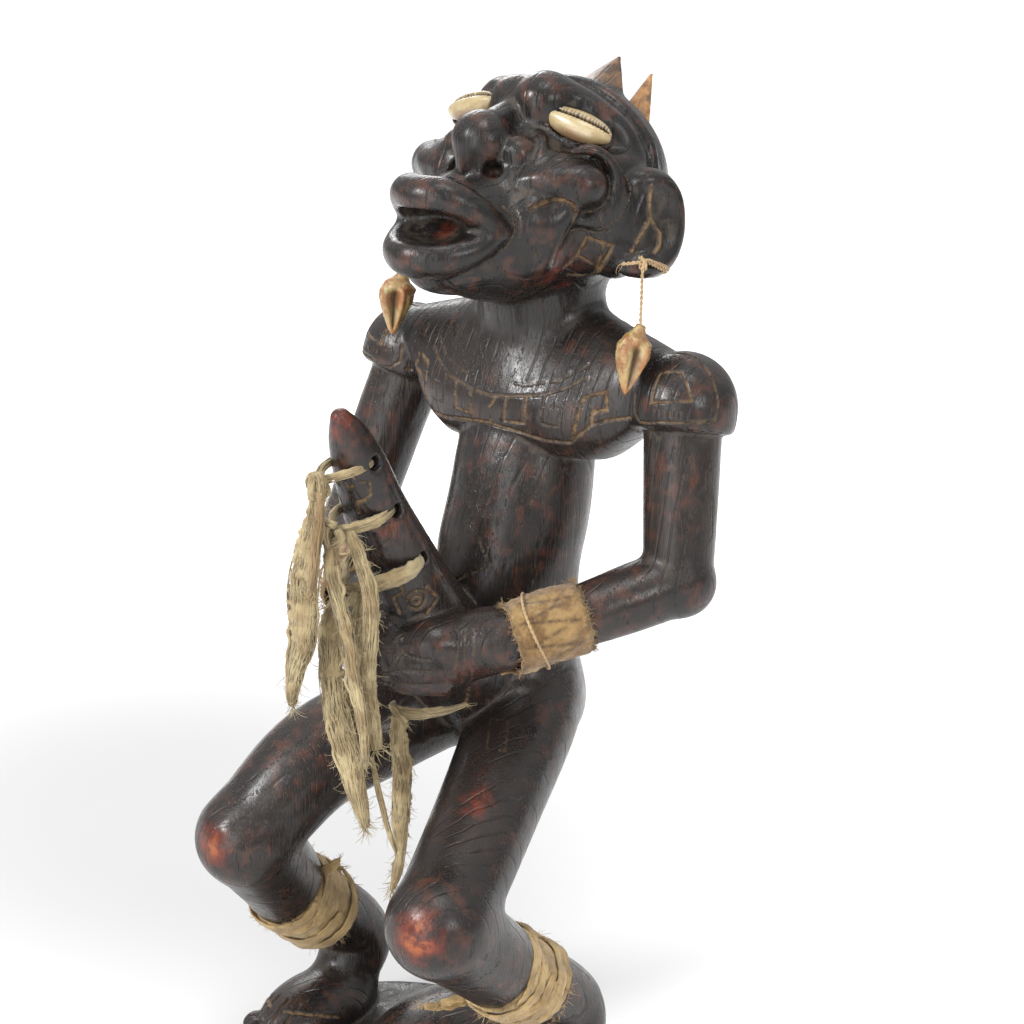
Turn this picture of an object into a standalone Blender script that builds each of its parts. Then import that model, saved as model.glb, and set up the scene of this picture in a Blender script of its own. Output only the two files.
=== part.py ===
"""Spirit sculpture: a crouching hardwood figure with cowrie eyes, shell ear
pendants, bark-cloth bands and fibre ties. Metres, +Z up. The figure faces -Y,
its own left is +X, and the underside of its low base is at Z = 0."""

import math

import bmesh
import bpy
from mathutils import Matrix, Vector

MM = 0.001

# ---------------------------------------------------------------- named sizes
GAP = 0.3                      # play between neighbouring pieces, mm
VOXEL = 1.5                    # grain of the carved solid before thinning, mm
FIGURE_TRIANGLES = 4700

BASE_CENTRE = (-4.0, -31.0)
BASE_RADII = (60.0, 43.0)
BASE_TOP = 11.0

HIP_Z, HIP_X, HIP_Y = 139.0, 14.5, -10.0
KNEE = {+1: (44.5, -90.0, 99.5), -1: (-46.5, -85.5, 100.0)}
SHIN = {+1: (42.0, -49.0, 64.5), -1: (-56.0, -52.0, 63.5)}
ANKLE = {+1: (42.0, -16.0, 40.0), -1: (-55.0, -21.0, 38.0)}
HIP_R, THIGH_R, KNEE_R, SHIN_R, ANKLE_R = 20.0, 17.0, 16.2, 14.2, 12.5

SHOULDER = {+1: (61.0, 12.0, 253.5), -1: (-60.0, 12.0, 252.0)}
ELBOW = {+1: (69.0, 4.0, 197.0), -1: (-71.0, 4.0, 195.5)}
WRIST = {+1: (39.0, -37.0, 183.5), -1: (-38.5, -38.5, 182.0)}
HAND = {+1: (11.0, -55.0, 173.5), -1: (-11.0, -56.0, 177.0)}
SHOULDER_R, ARM_R, ELBOW_R, WRIST_R = 17.5, 12.0, 11.8, 9.2

HEAD_CENTRE = (0.0, 18.0, 318.0)
HEAD_RADII = (35.0, 38.0, 35.0)
EYE = {+1: (22.1, -1.5, 342.4), -1: (-21.5, -1.1, 344.2)}
COWRIE = (12.2, 5.3, 4.6)      # half length, half width, half height
LOBE = {+1: (46.0, 8.0, 297.8), -1: (-45.2, 8.0, 297.6)}

EMBLEM = [                     # (y, z, radius) up the pierced emblem
    (-22.0, 152.0, 17.0), (-38.0, 168.0, 17.0), (-50.0, 186.0, 15.0),
    (-62.0, 206.0, 12.6), (-72.5, 225.0, 10.3), (-79.5, 240.0, 8.8),
    (-84.5, 250.0, 6.6), (-88.5, 257.5, 3.4)]
EMBLEM_HOLES = [(-81.0, 243.0), (-72.5, 226.0), (-62.5, 208.0)]
HOLE_R = 2.3

WRIST_BAND = dict(length=26.0, inner=10.2, wall=1.7)
LEG_BAND = dict(length=20.0, inner=13.3, wall=1.8)

# ------------------------------------------------------------------- helpers


def clear_scene():
    for obj in list(bpy.data.objects):
        bpy.data.objects.remove(obj, do_unlink=True)


def collection(name, hidden=False):
    found = bpy.data.collections.new(name)
    bpy.context.scene.collection.children.link(found)
    found.hide_render = hidden
    return found


def material(name, colour, roughness, metallic=0.0):
    made = bpy.data.materials.new(name)
    made.use_nodes = True
    shader = made.node_tree.nodes["Principled BSDF"]
    shader.inputs["Base Color"].default_value = (*colour, 1.0)
    shader.inputs["Roughness"].default_value = roughness
    shader.inputs["Metallic"].default_value = metallic
    made.diffuse_color = (*colour, 1.0)
    return made


def as_mesh_object(name, bm, where):
    mesh = bpy.data.meshes.new(name)
    bm.to_mesh(mesh)
    bm.free()
    obj = bpy.data.objects.new(name, mesh)
    where.objects.link(obj)
    return obj


def ellipsoid(bm, centre, radii, rotation=None, segments=24, rings=14):
    turn = rotation or Matrix.Identity(4)
    matrix = (Matrix.Translation(Vector(centre) * MM) @ turn
              @ Matrix.Diagonal(Vector((*radii, 1.0 / MM)) * MM))
    bmesh.ops.create_uvsphere(bm, u_segments=segments, v_segments=rings,
                              radius=1.0, matrix=matrix)


def curve_mesh(bm, points, radii, sides=2, cyclic=False, smooth=4, rounded=True):
    """A tube of changing radius, added to bm as a closed mesh."""
    data = bpy.data.curves.new("guide", "CURVE")
    data.dimensions = "3D"
    data.bevel_depth = 1.0
    data.bevel_resolution = sides
    data.use_fill_caps = not cyclic
    data.resolution_u = smooth
    spline = data.splines.new("BEZIER" if smooth > 1 else "POLY")
    if smooth > 1:
        spline.bezier_points.add(len(points) - 1)
        for knot, point, radius in zip(spline.bezier_points, points, radii):
            knot.co = Vector(point) * MM
            knot.radius = radius * MM
            knot.handle_left_type = knot.handle_right_type = "AUTO"
    else:
        spline.points.add(len(points) - 1)
        for knot, point, radius in zip(spline.points, points, radii):
            knot.co = (*(Vector(point) * MM), 1.0)
            knot.radius = radius * MM
    spline.use_cyclic_u = cyclic
    obj = bpy.data.objects.new("guide", data)
    bpy.context.scene.collection.objects.link(obj)
    graph = bpy.context.evaluated_depsgraph_get()
    mesh = bpy.data.meshes.new_from_object(obj.evaluated_get(graph))
    piece = bmesh.new()
    piece.from_mesh(mesh)
    bmesh.ops.remove_doubles(piece, verts=piece.verts, dist=0.00001)
    bmesh.ops.recalc_face_normals(piece, faces=piece.faces)
    if rounded and not cyclic:
        for point, radius in ((points[0], radii[0]), (points[-1], radii[-1])):
            ellipsoid(piece, point, (radius * 0.995,) * 3, segments=20, rings=12)
    joined = bpy.data.meshes.new("joined")
    piece.to_mesh(joined)
    piece.free()
    bm.from_mesh(joined)
    bpy.data.objects.remove(obj, do_unlink=True)
    bpy.data.curves.remove(data)
    bpy.data.meshes.remove(mesh)
    bpy.data.meshes.remove(joined)


def cord_object(name, points, diameter, where, mat):
    """A free strand: one open poly curve with filled caps."""
    data = bpy.data.curves.new(name, "CURVE")
    data.dimensions = "3D"
    data.bevel_depth = diameter * MM / 2
    data.bevel_resolution = 2
    data.use_fill_caps = True
    spline = data.splines.new("POLY")
    spline.points.add(len(points) - 1)
    for knot, point in zip(spline.points, points):
        knot.co = (*(Vector(point) * MM), 1.0)
    obj = bpy.data.objects.new(name, data)
    where.objects.link(obj)
    data.materials.append(mat)
    return obj


def smooth_route(knots, step):
    """Points every `step` mm on a Catmull-Rom curve through the knots."""
    ends = [Vector(knots[0]) * 2 - Vector(knots[1])]
    ends += [Vector(k) for k in knots]
    ends.append(Vector(knots[-1]) * 2 - Vector(knots[-2]))
    fine = []
    for a, b, c, d in zip(ends, ends[1:], ends[2:], ends[3:]):
        for i in range(24):
            t = i / 24
            fine.append(0.5 * ((2 * b) + (c - a) * t
                               + (2 * a - 5 * b + 4 * c - d) * t * t
                               + (3 * b - a - 3 * c + d) * t ** 3))
    fine.append(Vector(knots[-1]))
    length = sum((q - p).length for p, q in zip(fine, fine[1:]))
    count = max(3, round(length / step))
    out, walked, target = [fine[0]], 0.0, length / count
    for p, q in zip(fine, fine[1:]):
        piece = (q - p).length
        while walked + piece >= target - 1e-9 and len(out) < count:
            out.append(p.lerp(q, (target - walked) / piece))
            target += length / count
        walked += piece
    out.append(fine[-1])
    return [tuple(p) for p in out], length


def frame_along(axis, across=(0.0, 0.0, 1.0)):
    """A rotation whose Z runs along `axis`."""
    z = Vector(axis).normalized()
    x = Vector(across).cross(z).normalized()
    y = z.cross(x)
    turn = Matrix((x, y, z)).transposed()
    return turn.to_4x4()


def modifier(obj, kind, name, **settings):
    made = obj.modifiers.new(name, kind)
    for key, value in settings.items():
        setattr(made, key, value)
    return made


def boolean(obj, cutter, operation="DIFFERENCE"):
    return modifier(obj, "BOOLEAN", cutter.name, operation=operation,
                    solver="EXACT", object=cutter)


def finish(obj, mat, smooth=True):
    obj.data.materials.append(mat)
    if smooth:
        obj.data.shade_smooth()
    return obj


def middle(a, b, t=0.5):
    return tuple(Vector(a).lerp(Vector(b), t))


def turned(degrees, axis):
    return Matrix.Rotation(math.radians(degrees), 4, axis)


# -------------------------------------------------------------- carved figure


def add_legs(bm):
    for s in (1, -1):
        hip = (s * HIP_X, HIP_Y, HIP_Z)
        knee, shin, ankle = KNEE[s], SHIN[s], ANKLE[s]
        thigh = middle(hip, knee, 0.52)
        curve_mesh(bm, [(s * 10.0, 0.0, HIP_Z + 4), hip, thigh, knee],
                   [21.0, HIP_R, THIGH_R, KNEE_R], sides=5)
        ellipsoid(bm, (s * 11.0, 7.0, 141.0), (16.0, 16.0, 19.0))
        bend = middle(knee, shin, 0.55)
        curve_mesh(bm, [knee, bend, shin, ankle, (ankle[0], ankle[1] - 4.0, 22.0)],
                   [KNEE_R, 15.0, SHIN_R, ANKLE_R, 12.5], sides=5)
        ellipsoid(bm, (ankle[0], ankle[1] + 1.0, 32.0), (12.0, 12.5, 14.0))
        ellipsoid(bm, (ankle[0] - s * 1.0, ankle[1] - 21.0, 13.0),
                  (16.0, 27.0, 13.0))


def add_base(bm):
    cx, cy = BASE_CENTRE
    turn = Matrix.Translation(Vector((cx, cy, BASE_TOP / 2 - 3)) * MM)
    bmesh.ops.create_cone(
        bm, cap_ends=True, segments=56, radius1=1.0, radius2=0.95, depth=1.0,
        matrix=turn @ Matrix.Diagonal(Vector(
            (BASE_RADII[0], BASE_RADII[1], BASE_TOP + 6, 1 / MM)) * MM))
    ellipsoid(bm, (-1.0, -32.0, 6.0), (27.0, 41.0, 27.0), segments=32, rings=18)


def add_trunk(bm):
    curve_mesh(bm, [(0, 2, 138), (1, -3, 164), (1, -5, 190), (2, 0, 212),
                    (1, 6, 234), (0, 10, 250)],
               [24.0, 24.6, 23.2, 23.8, 25.0, 22.0], sides=6)
    ellipsoid(bm, (0, 9.0, 247.0), (50.0, 25.0, 21.0), segments=32, rings=18)
    curve_mesh(bm, [(0, 12, 252), (0, 12, 272), (0, 10, 292)],
               [25.0, 21.5, 23.0], sides=6)
    for s in (1, -1):
        curve_mesh(bm, [(s * 8, 12, 264), (s * 32, 13, 259.5), SHOULDER[s]],
                   [20.0, 16.5, 16.5], sides=5)


def add_arms(bm):
    for s in (1, -1):
        top, elbow, wrist, hand = SHOULDER[s], ELBOW[s], WRIST[s], HAND[s]
        ellipsoid(bm, top, (SHOULDER_R + 1.0, SHOULDER_R, SHOULDER_R + 0.5))
        cap = middle(top, elbow, 0.16)
        curve_mesh(bm, [middle(top, elbow, 0.0), cap], [16.0, 16.2], sides=5,
                   smooth=2, rounded=False)
        curve_mesh(bm, [top, middle(top, elbow, 0.4), middle(top, elbow, 0.8), elbow],
                   [13.0, ARM_R, 11.6, ELBOW_R], sides=5)
        curve_mesh(bm, [elbow, middle(elbow, wrist, 0.5), wrist,
                        middle(wrist, hand, 0.45)],
                   [ELBOW_R, 11.0, WRIST_R, 10.5], sides=5)
        curve_mesh(bm, [middle(wrist, hand, 0.35), hand,
                        (s * 1.0, hand[1] - 8.0, hand[2] - 0.5)],
                   [10.5, 13.0, 10.5], sides=5)
        ellipsoid(bm, (s * 13.0, hand[1] - 2.0, hand[2] + 6.0), (12.0, 13.0, 9.0))


def add_emblem(bm):
    curve_mesh(bm, [(0, y, z) for y, z, _ in EMBLEM], [r for _, _, r in EMBLEM],
               sides=6)


def add_head(bm):
    ellipsoid(bm, HEAD_CENTRE, HEAD_RADII, segments=40, rings=24)
    # cheeks, jaw and muzzle
    ellipsoid(bm, (0, -5.0, 317.0), (31.0, 26.5, 25.0), segments=32, rings=18)
    ellipsoid(bm, (0, -14.0, 305.0), (27.0, 30.0, 21.0), segments=32, rings=18)
    ellipsoid(bm, (0, -30.0, 313.0), (18.5, 21.0, 14.0), segments=28, rings=16)
    for s in (1, -1):
        ellipsoid(bm, (s * 27.0, -9.0, 325.5), (7.5, 7.5, 7.5))
        ellipsoid(bm, (s * 25.0, -17.5, 317.0), (6.0, 7.5, 5.0))
        # brow lobe over each eye, and the ear flap behind the cheek
        curve_mesh(bm, [(s * 6, -2, 348), (s * 17, 5, 349), (s * 28, 11, 343),
                        (s * 33, 14, 334)], [7.4, 5.8, 4.6, 3.6], sides=3)
        x, y, z = LOBE[s]
        curve_mesh(bm, [(s * 33, 6, 329), (s * 42, 11, 328), (s * 45.5, 19.5, 320),
                        (s * 46, 21, 308), (x, 17, z + 2.0), (x, y, z),
                        (s * 41, 1.5, z + 2.5), (s * 34, 0, z + 4)],
                   [3.8, 3.9, 3.7, 3.6, 4.0, 4.2, 4.2, 5.0], sides=3)
        ellipsoid(bm, (s * 38.5, 14, 315), (5.5, 8.0, 12.0))
        ellipsoid(bm, (s * 9.5, -15.0, 332.0), (6.6, 7.0, 5.6))
    # nose
    curve_mesh(bm, [(0, -2, 345), (0, -12, 343), (0, -22.5, 336.5), (0, -25, 331)],
               [5.5, 7.6, 9.2, 7.5], sides=4)
    # everted lips round the open mouth
    lips = [(0, -51.5, 323), (8, -48.5, 323), (14.5, -42, 318.5), (17.5, -37, 311),
            (10, -49.5, 304), (0, -55, 303.5),
            (-10, -49.5, 304), (-17.5, -37, 311), (-14.5, -42, 318.5),
            (-8, -48.5, 323)]
    curve_mesh(bm, lips, [5.8, 5.7, 5.0, 4.4, 6.0, 6.3, 6.0, 4.4, 5.0, 5.7],
               sides=4, cyclic=True)
    ellipsoid(bm, (0, -38.5, 297.5), (14.0, 13.0, 8.0))
    # raised edge of the hair cap, and the two crown spikes
    curve_mesh(bm, [(-34, 24, 324), (-29.5, 26, 337), (-14, 24, 349.5), (0, 22, 352),
                    (14, 24, 349.5), (29.5, 26, 337), (34, 24, 324)],
               [2.6, 3.0, 3.4, 3.6, 3.4, 3.0, 2.6], sides=3)
    for base, tip, radius in (((0, 34, 340), (0, 51.0, 359.5), 8.5),
                              ((0, 53, 326), (0, 72.0, 354.0), 6.8)):
        axis = Vector(tip) - Vector(base)
        matrix = (Matrix.Translation((Vector(base) + Vector(tip)) / 2 * MM)
                  @ frame_along(axis, (1, 0, 0)))
        bmesh.ops.create_cone(bm, cap_ends=True, segments=16, radius1=radius * MM,
                              radius2=0.8 * MM, depth=axis.length * MM,
                              matrix=matrix)


def ring_seats(where):
    """Turned seats for the four cloth bands: tube-shaped cutters."""
    seats = []
    for key, sizes, a, b, at in band_places():
        centre, axis = band_axis(a, b, at)
        bm = bmesh.new()
        outer = sizes["inner"] + 9.0
        inner = sizes["inner"] - GAP
        tube(bm, inner, outer, sizes["length"] + 2 * GAP)
        seat = as_mesh_object(key + "_seat_cutter", bm, where)
        seat.matrix_world = (Matrix.Translation(Vector(centre) * MM)
                             @ frame_along(axis))
        seats.append(seat)
    return seats


def band_places():
    return [
        ("left_wrist_band", WRIST_BAND, ELBOW[1], WRIST[1], 0.93),
        ("right_wrist_band", WRIST_BAND, ELBOW[-1], WRIST[-1], 0.93),
        ("left_leg_band", LEG_BAND, SHIN[1], ANKLE[1], 0.10),
        ("right_leg_band", LEG_BAND, SHIN[-1], ANKLE[-1], 0.08),
    ]


def band_axis(a, b, at):
    return middle(a, b, at), Vector(b) - Vector(a)


def tube(bm, inner, outer, length, segments=24):
    """A plain ring of rectangular section about Z, in mm, as a turned profile."""
    half = length / 2
    corners = [(inner, -half), (outer, -half), (outer, half), (inner, half)]
    rings = []
    for i in range(segments):
        angle = 2 * math.pi * i / segments
        rings.append([bm.verts.new((r * math.cos(angle) * MM,
                                    r * math.sin(angle) * MM, z * MM))
                      for r, z in corners])
    for i in range(segments):
        here, there = rings[i], rings[(i + 1) % segments]
        for j in range(4):
            k = (j + 1) % 4
            bm.faces.new((here[j], there[j], there[k], here[k]))
    bmesh.ops.recalc_face_normals(bm, faces=bm.faces)


def eye_matrix(s):
    """The seat of one eye: long axis across the face, dome up the face's normal."""
    x, y, z = EYE[s]
    normal = Vector((s * 0.34, -0.52, 0.78)).normalized()
    across = Vector((1.0, s * 0.22, -s * 0.28))
    across = (across - normal * across.dot(normal)).normalized()
    side = normal.cross(across)
    turn = Matrix((across, side, normal)).transposed().to_4x4()
    return Matrix.Translation(Vector((x, y, z)) * MM) @ turn


def build_figure(parts, cutters, mat):
    bm = bmesh.new()
    for add in (add_base, add_legs, add_trunk, add_arms, add_emblem, add_head):
        add(bm)
    obj = as_mesh_object("carved_figure", bm, parts)
    modifier(obj, "REMESH", "one carving", mode="VOXEL", voxel_size=VOXEL * MM,
             adaptivity=0.0)
    modifier(obj, "SMOOTH", "soften", factor=0.5, iterations=7)
    count = evaluated_triangles(obj)
    modifier(obj, "DECIMATE", "thin", decimate_type="COLLAPSE",
             ratio=FIGURE_TRIANGLES / count, use_collapse_triangulate=True)

    bm = bmesh.new()
    bmesh.ops.create_cube(bm, size=1.0, matrix=Matrix.Translation((0, 0, -0.05))
                          @ Matrix.Diagonal((0.4, 0.4, 0.1, 1.0)))
    flat = as_mesh_object("underside_cutter", bm, cutters)
    boolean(obj, flat)

    for s, side in ((1, "left"), (-1, "right")):
        bm = bmesh.new()
        grow = [c + GAP for c in COWRIE]
        bmesh.ops.create_uvsphere(bm, u_segments=14, v_segments=8, radius=1.0,
                                  matrix=Matrix.Diagonal(Vector((*grow, 1 / MM)) * MM))
        socket = as_mesh_object(side + "_eye_socket_cutter", bm, cutters)
        socket.matrix_world = eye_matrix(s)
        boolean(obj, socket)

    for y, z in EMBLEM_HOLES:
        bm = bmesh.new()
        bmesh.ops.create_cone(bm, cap_ends=True, segments=10, radius1=HOLE_R * MM,
                              radius2=HOLE_R * MM, depth=0.05)
        hole = as_mesh_object("emblem_hole_cutter", bm, cutters)
        hole.matrix_world = (Matrix.Translation(Vector((0, y, z)) * MM)
                             @ turned(90, "Y"))
        boolean(obj, hole)

    # open mouth between the lips
    bm = bmesh.new()
    ellipsoid(bm, (0, -48.0, 313.0), (13.5, 14.0, 4.4), segments=16, rings=10)
    boolean(obj, as_mesh_object("mouth_cutter", bm, cutters))

    for seat in ring_seats(cutters):
        boolean(obj, seat)
    return finish(obj, mat)


def evaluated_triangles(obj):
    graph = bpy.context.evaluated_depsgraph_get()
    found = obj.evaluated_get(graph).to_mesh()
    found.calc_loop_triangles()
    count = len(found.loop_triangles)
    obj.evaluated_get(graph).to_mesh_clear()
    return count


# ---------------------------------------------------------------- other pieces


def build_eyes(parts, mat):
    for s, side in ((1, "left"), (-1, "right")):
        bm = bmesh.new()
        bmesh.ops.create_uvsphere(bm, u_segments=14, v_segments=8, radius=1.0,
                                  matrix=Matrix.Diagonal(Vector((*COWRIE, 1 / MM)) * MM))
        # the shell tapers a little to its ends
        for vert in bm.verts:
            x = vert.co.x / (COWRIE[0] * MM)
            vert.co.y *= 1.0 - 0.16 * x * x
        eye = as_mesh_object(side + "_cowrie_eye", bm, parts)
        eye.matrix_world = eye_matrix(s)
        finish(eye, mat)


def build_bands(parts, mat):
    for key, sizes, a, b, at in band_places():
        centre, axis = band_axis(a, b, at)
        bm = bmesh.new()
        tube(bm, sizes["inner"], sizes["inner"] + sizes["wall"], sizes["length"])
        band = as_mesh_object(key, bm, parts)
        band.matrix_world = (Matrix.Translation(Vector(centre) * MM)
                             @ frame_along(axis))
        finish(band, mat[key.split("_")[1]], smooth=False)


EAR_STRING = {                 # round the outer side of the lobe, then down
    +1: [(51.5, 11.3, 297.6), (51.7, 4.5, 300.6), (51.5, -1.6, 302.6),
         (51.3, -3.0, 299.0), (51.3, -3.0, 290.0), (51.3, -3.0, 282.4)],
    -1: [(-50.7, 12.0, 297.9), (-50.9, 5.0, 300.9), (-50.8, -0.8, 303.0),
         (-50.8, -2.2, 299.4), (-50.9, -2.2, 292.0), (-50.9, -2.2, 285.6)]}
SHELL = dict(length=23.0, width=12.5, lean=(17.0, 13.0))


def build_pendants(parts, shell_mat, fibre_mat):
    for s, side in ((1, "left"), (-1, "right")):
        knots = EAR_STRING[s]
        points, _ = smooth_route(knots, 2.6)
        cord_object(side + "_ear_string", points, 1.1, parts, fibre_mat)
        x, y, z = knots[-1]
        top = z - GAP
        half, wide = SHELL["length"] / 2, SHELL["width"] / 2
        profile = [(0.0, 0.0), (0.32, 0.03), (0.62, 0.13), (0.86, 0.24), (1.0, 0.36),
                   (0.95, 0.50), (0.76, 0.66), (0.52, 0.82), (0.28, 0.95), (0.0, 1.0)]
        bm = bmesh.new()
        rings = []
        count = 10
        for r, t in profile[1:-1]:
            rings.append([bm.verts.new((
                r * wide * math.cos(2 * math.pi * i / count) * MM,
                r * wide * 0.85 * math.sin(2 * math.pi * i / count) * MM,
                -t * 2 * half * MM)) for i in range(count)])
        first = bm.verts.new((0, 0, 0))
        last = bm.verts.new((0, 0, -2 * half * MM))
        for i in range(count):
            j = (i + 1) % count
            bm.faces.new((first, rings[0][i], rings[0][j]))
            for upper, lower in zip(rings, rings[1:]):
                bm.faces.new((upper[i], lower[i], lower[j], upper[j]))
            bm.faces.new((rings[-1][i], last, rings[-1][j]))
        bmesh.ops.recalc_face_normals(bm, faces=bm.faces)
        shell = as_mesh_object(side + "_ear_shell", bm, parts)
        shell.location = Vector((x, y, top)) * MM
        shell.rotation_euler = (-math.radians(SHELL["lean"][0 if s > 0 else 1]), 0, 0)
        finish(shell, shell_mat)


# Free fibre strands: name, diameter and route, all in mm.
STRANDS = {
    "upper_tie_strand": (4.6, [
        (-4.0, -94.0, 237.4), (-4.4, -95.0, 228.4), (-5.5, -96.5, 218.3),
        (-7.6, -97.5, 203.5), (-7.4, -97.5, 191.9), (-8.4, -97.0, 184.0),
        (-10.9, -97.0, 175.5), (-12.8, -97.0, 166.2), (-13.0, -97.0, 161.0)]),
    "upper_tie_strip": (2.4, [
        (2.2, -99.6, 237.9), (2.4, -100.6, 229.2), (2.4, -102.0, 221.4),
        (1.9, -102.5, 213.2), (0.6, -102.5, 204.6)]),
    "middle_tie_strand": (4.4, [
        (-1.4, -91.0, 221.7), (-0.8, -92.0, 215.9), (0.1, -92.5, 208.3),
        (2.3, -92.5, 200.4), (6.8, -92.0, 187.5), (8.8, -91.5, 174.2),
        (11.2, -91.0, 165.9), (12.8, -91.0, 157.1), (13.6, -91.0, 147.8)]),
    "middle_tie_strip": (4.0, [
        (4.4, -89.2, 221.9), (7.2, -88.0, 215.3), (9.4, -86.2, 205.9),
        (10.9, -85.8, 198.6), (10.6, -85.6, 186.3), (9.6, -85.6, 176.5),
        (10.2, -85.6, 165.8), (12.1, -85.6, 157.9), (13.7, -85.6, 149.7)]),
    "lower_tie_strand": (4.6, [
        (-2.6, -84.6, 200.4), (-5.4, -84.6, 193.8), (-7.7, -85.0, 185.0),
        (-7.0, -85.5, 175.0), (-5.0, -86.0, 163.2), (-1.8, -86.6, 153.9),
        (3.0, -87.4, 144.4), (7.0, -88.0, 134.0), (11.2, -88.0, 122.3)]),
    "lower_tie_strip": (3.6, [
        (3.2, -80.2, 199.6), (0.8, -79.6, 191.8), (-0.6, -79.8, 179.6),
        (-0.6, -80.2, 164.4), (-0.4, -80.6, 150.4), (1.0, -80.8, 136.5)]),
    "lower_tie_thread": (1.4, [
        (6.6, -80.4, 143.4), (10.2, -81.6, 135.0), (16.1, -82.6, 121.7),
        (19.6, -82.6, 114.3)]),
    "groin_tie_strand": (4.2, [
        (1.1, -61.5, 150.6), (1.7, -61.5, 139.7), (3.4, -61.5, 128.4),
        (2.9, -61.5, 110.8), (3.4, -61.5, 103.1), (1.6, -61.5, 94.1),
        (-0.5, -61.5, 86.6)]),
}


def build_strands(parts, mat):
    for name, (diameter, knots) in STRANDS.items():
        step = max(2.2 * diameter, 3.4)
        points, _ = smooth_route(knots, step)
        cord_object(name, points, diameter, parts, mat)


def main():
    clear_scene()
    parts = collection("spirit_sculpture")
    cutters = collection("cutters", hidden=True)
    wood = material("dark polished hardwood", (0.035, 0.018, 0.012), 0.32)
    cowrie = material("cowrie shell", (0.80, 0.74, 0.60), 0.25)
    shell = material("ear shell", (0.72, 0.50, 0.26), 0.35)
    bark = material("beaten bark cloth", (0.42, 0.30, 0.17), 0.85)
    fibre_cloth = material("tan fibre cloth", (0.50, 0.41, 0.27), 0.9)
    fibre = material("straw fibre", (0.50, 0.42, 0.28), 0.85)

    build_figure(parts, cutters, wood)
    build_eyes(parts, cowrie)
    build_bands(parts, {"wrist": bark, "leg": fibre_cloth})
    build_pendants(parts, shell, fibre)
    build_strands(parts, fibre)
    for obj in cutters.objects:
        obj.hide_render = True
        obj.display_type = "WIRE"


main()
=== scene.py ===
import math

import bmesh
import bpy
import numpy as np
from mathutils import Matrix, Vector
from mathutils.bvhtree import BVHTree
from mathutils.kdtree import KDTree


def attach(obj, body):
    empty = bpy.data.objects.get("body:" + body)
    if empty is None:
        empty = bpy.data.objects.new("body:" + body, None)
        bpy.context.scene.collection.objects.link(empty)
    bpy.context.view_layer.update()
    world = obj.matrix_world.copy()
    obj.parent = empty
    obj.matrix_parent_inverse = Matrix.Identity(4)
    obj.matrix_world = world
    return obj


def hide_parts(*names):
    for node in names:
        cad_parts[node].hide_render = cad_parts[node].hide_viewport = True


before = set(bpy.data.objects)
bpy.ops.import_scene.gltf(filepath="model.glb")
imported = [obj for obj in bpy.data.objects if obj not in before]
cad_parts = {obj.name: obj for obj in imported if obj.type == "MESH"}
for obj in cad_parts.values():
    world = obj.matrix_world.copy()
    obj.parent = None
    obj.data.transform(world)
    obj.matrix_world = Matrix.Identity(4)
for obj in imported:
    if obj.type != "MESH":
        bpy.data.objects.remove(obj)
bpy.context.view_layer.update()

# The frame is in metres. Sizes below are in millimetres, as in part.py, and MM
# turns them into metres.
MM = 0.001
SCENE = bpy.context.scene


# ---------------------------------------------------------------- camera
def build_camera():
    azimuth, elevation, roll = (math.radians(v) for v in (38.4, 17.2, 1.5))
    distance, focal = 0.784, 2268.7
    back = Vector((math.sin(azimuth) * math.cos(elevation),
                   -math.cos(azimuth) * math.cos(elevation), math.sin(elevation)))
    right = Vector((math.cos(azimuth), math.sin(azimuth), 0.0))
    up = back.cross(right)
    across = right * math.cos(roll) + up * math.sin(roll)
    upward = -right * math.sin(roll) + up * math.cos(roll)
    data = bpy.data.cameras.new("view_camera")
    data.sensor_width = 36.0
    data.lens = 36.0 * focal / 1024.0
    data.clip_start = 0.02
    data.clip_end = 60.0
    camera = bpy.data.objects.new("view_camera", data)
    SCENE.collection.objects.link(camera)
    matrix = Matrix((across, upward, back)).transposed().to_4x4()
    matrix.translation = Vector((-0.0016, 0.0, 0.2069)) + back * distance
    camera.matrix_world = matrix
    SCENE.camera = camera


# ---------------------------------------------------------------- numbers
KNEE = {+1: (44.5, -90.0, 99.5), -1: (-46.5, -85.5, 100.0)}
SHIN = {+1: (42.0, -49.0, 64.5), -1: (-56.0, -52.0, 63.5)}
ANKLE = {+1: (42.0, -16.0, 40.0), -1: (-55.0, -21.0, 38.0)}
SHOULDER = {+1: (61.0, 12.0, 253.5), -1: (-60.0, 12.0, 252.0)}
ELBOW = {+1: (69.0, 4.0, 197.0), -1: (-71.0, 4.0, 195.5)}
WRIST = {+1: (39.0, -37.0, 183.5), -1: (-38.5, -38.5, 182.0)}
HAND = {+1: (11.0, -55.0, 173.5), -1: (-11.0, -56.0, 177.0)}
EYE = {+1: (22.1, -1.5, 342.4), -1: (-21.5, -1.1, 344.2)}
COWRIE = (12.2, 5.3, 4.6)
LOBE = {+1: (46.0, 8.0, 297.8), -1: (-45.2, 8.0, 297.6)}
EMBLEM = [(-22.0, 152.0, 17.0), (-38.0, 168.0, 17.0), (-50.0, 186.0, 15.0),
          (-62.0, 206.0, 12.6), (-72.5, 225.0, 10.3), (-79.5, 240.0, 8.8),
          (-84.5, 250.0, 6.6), (-88.5, 257.5, 3.4)]
HOLES = [(-81.0, 243.0), (-72.5, 226.0), (-62.5, 208.0)]
BANDS = {
    "left_wrist_band": (ELBOW[1], WRIST[1], 0.93, 26.0, 10.2, 1.7),
    "right_wrist_band": (ELBOW[-1], WRIST[-1], 0.93, 26.0, 10.2, 1.7),
    "left_leg_band": (SHIN[1], ANKLE[1], 0.06, 27.0, 13.3, 1.8),
    "right_leg_band": (SHIN[-1], ANKLE[-1], 0.17, 27.0, 13.3, 1.8),
}


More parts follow.
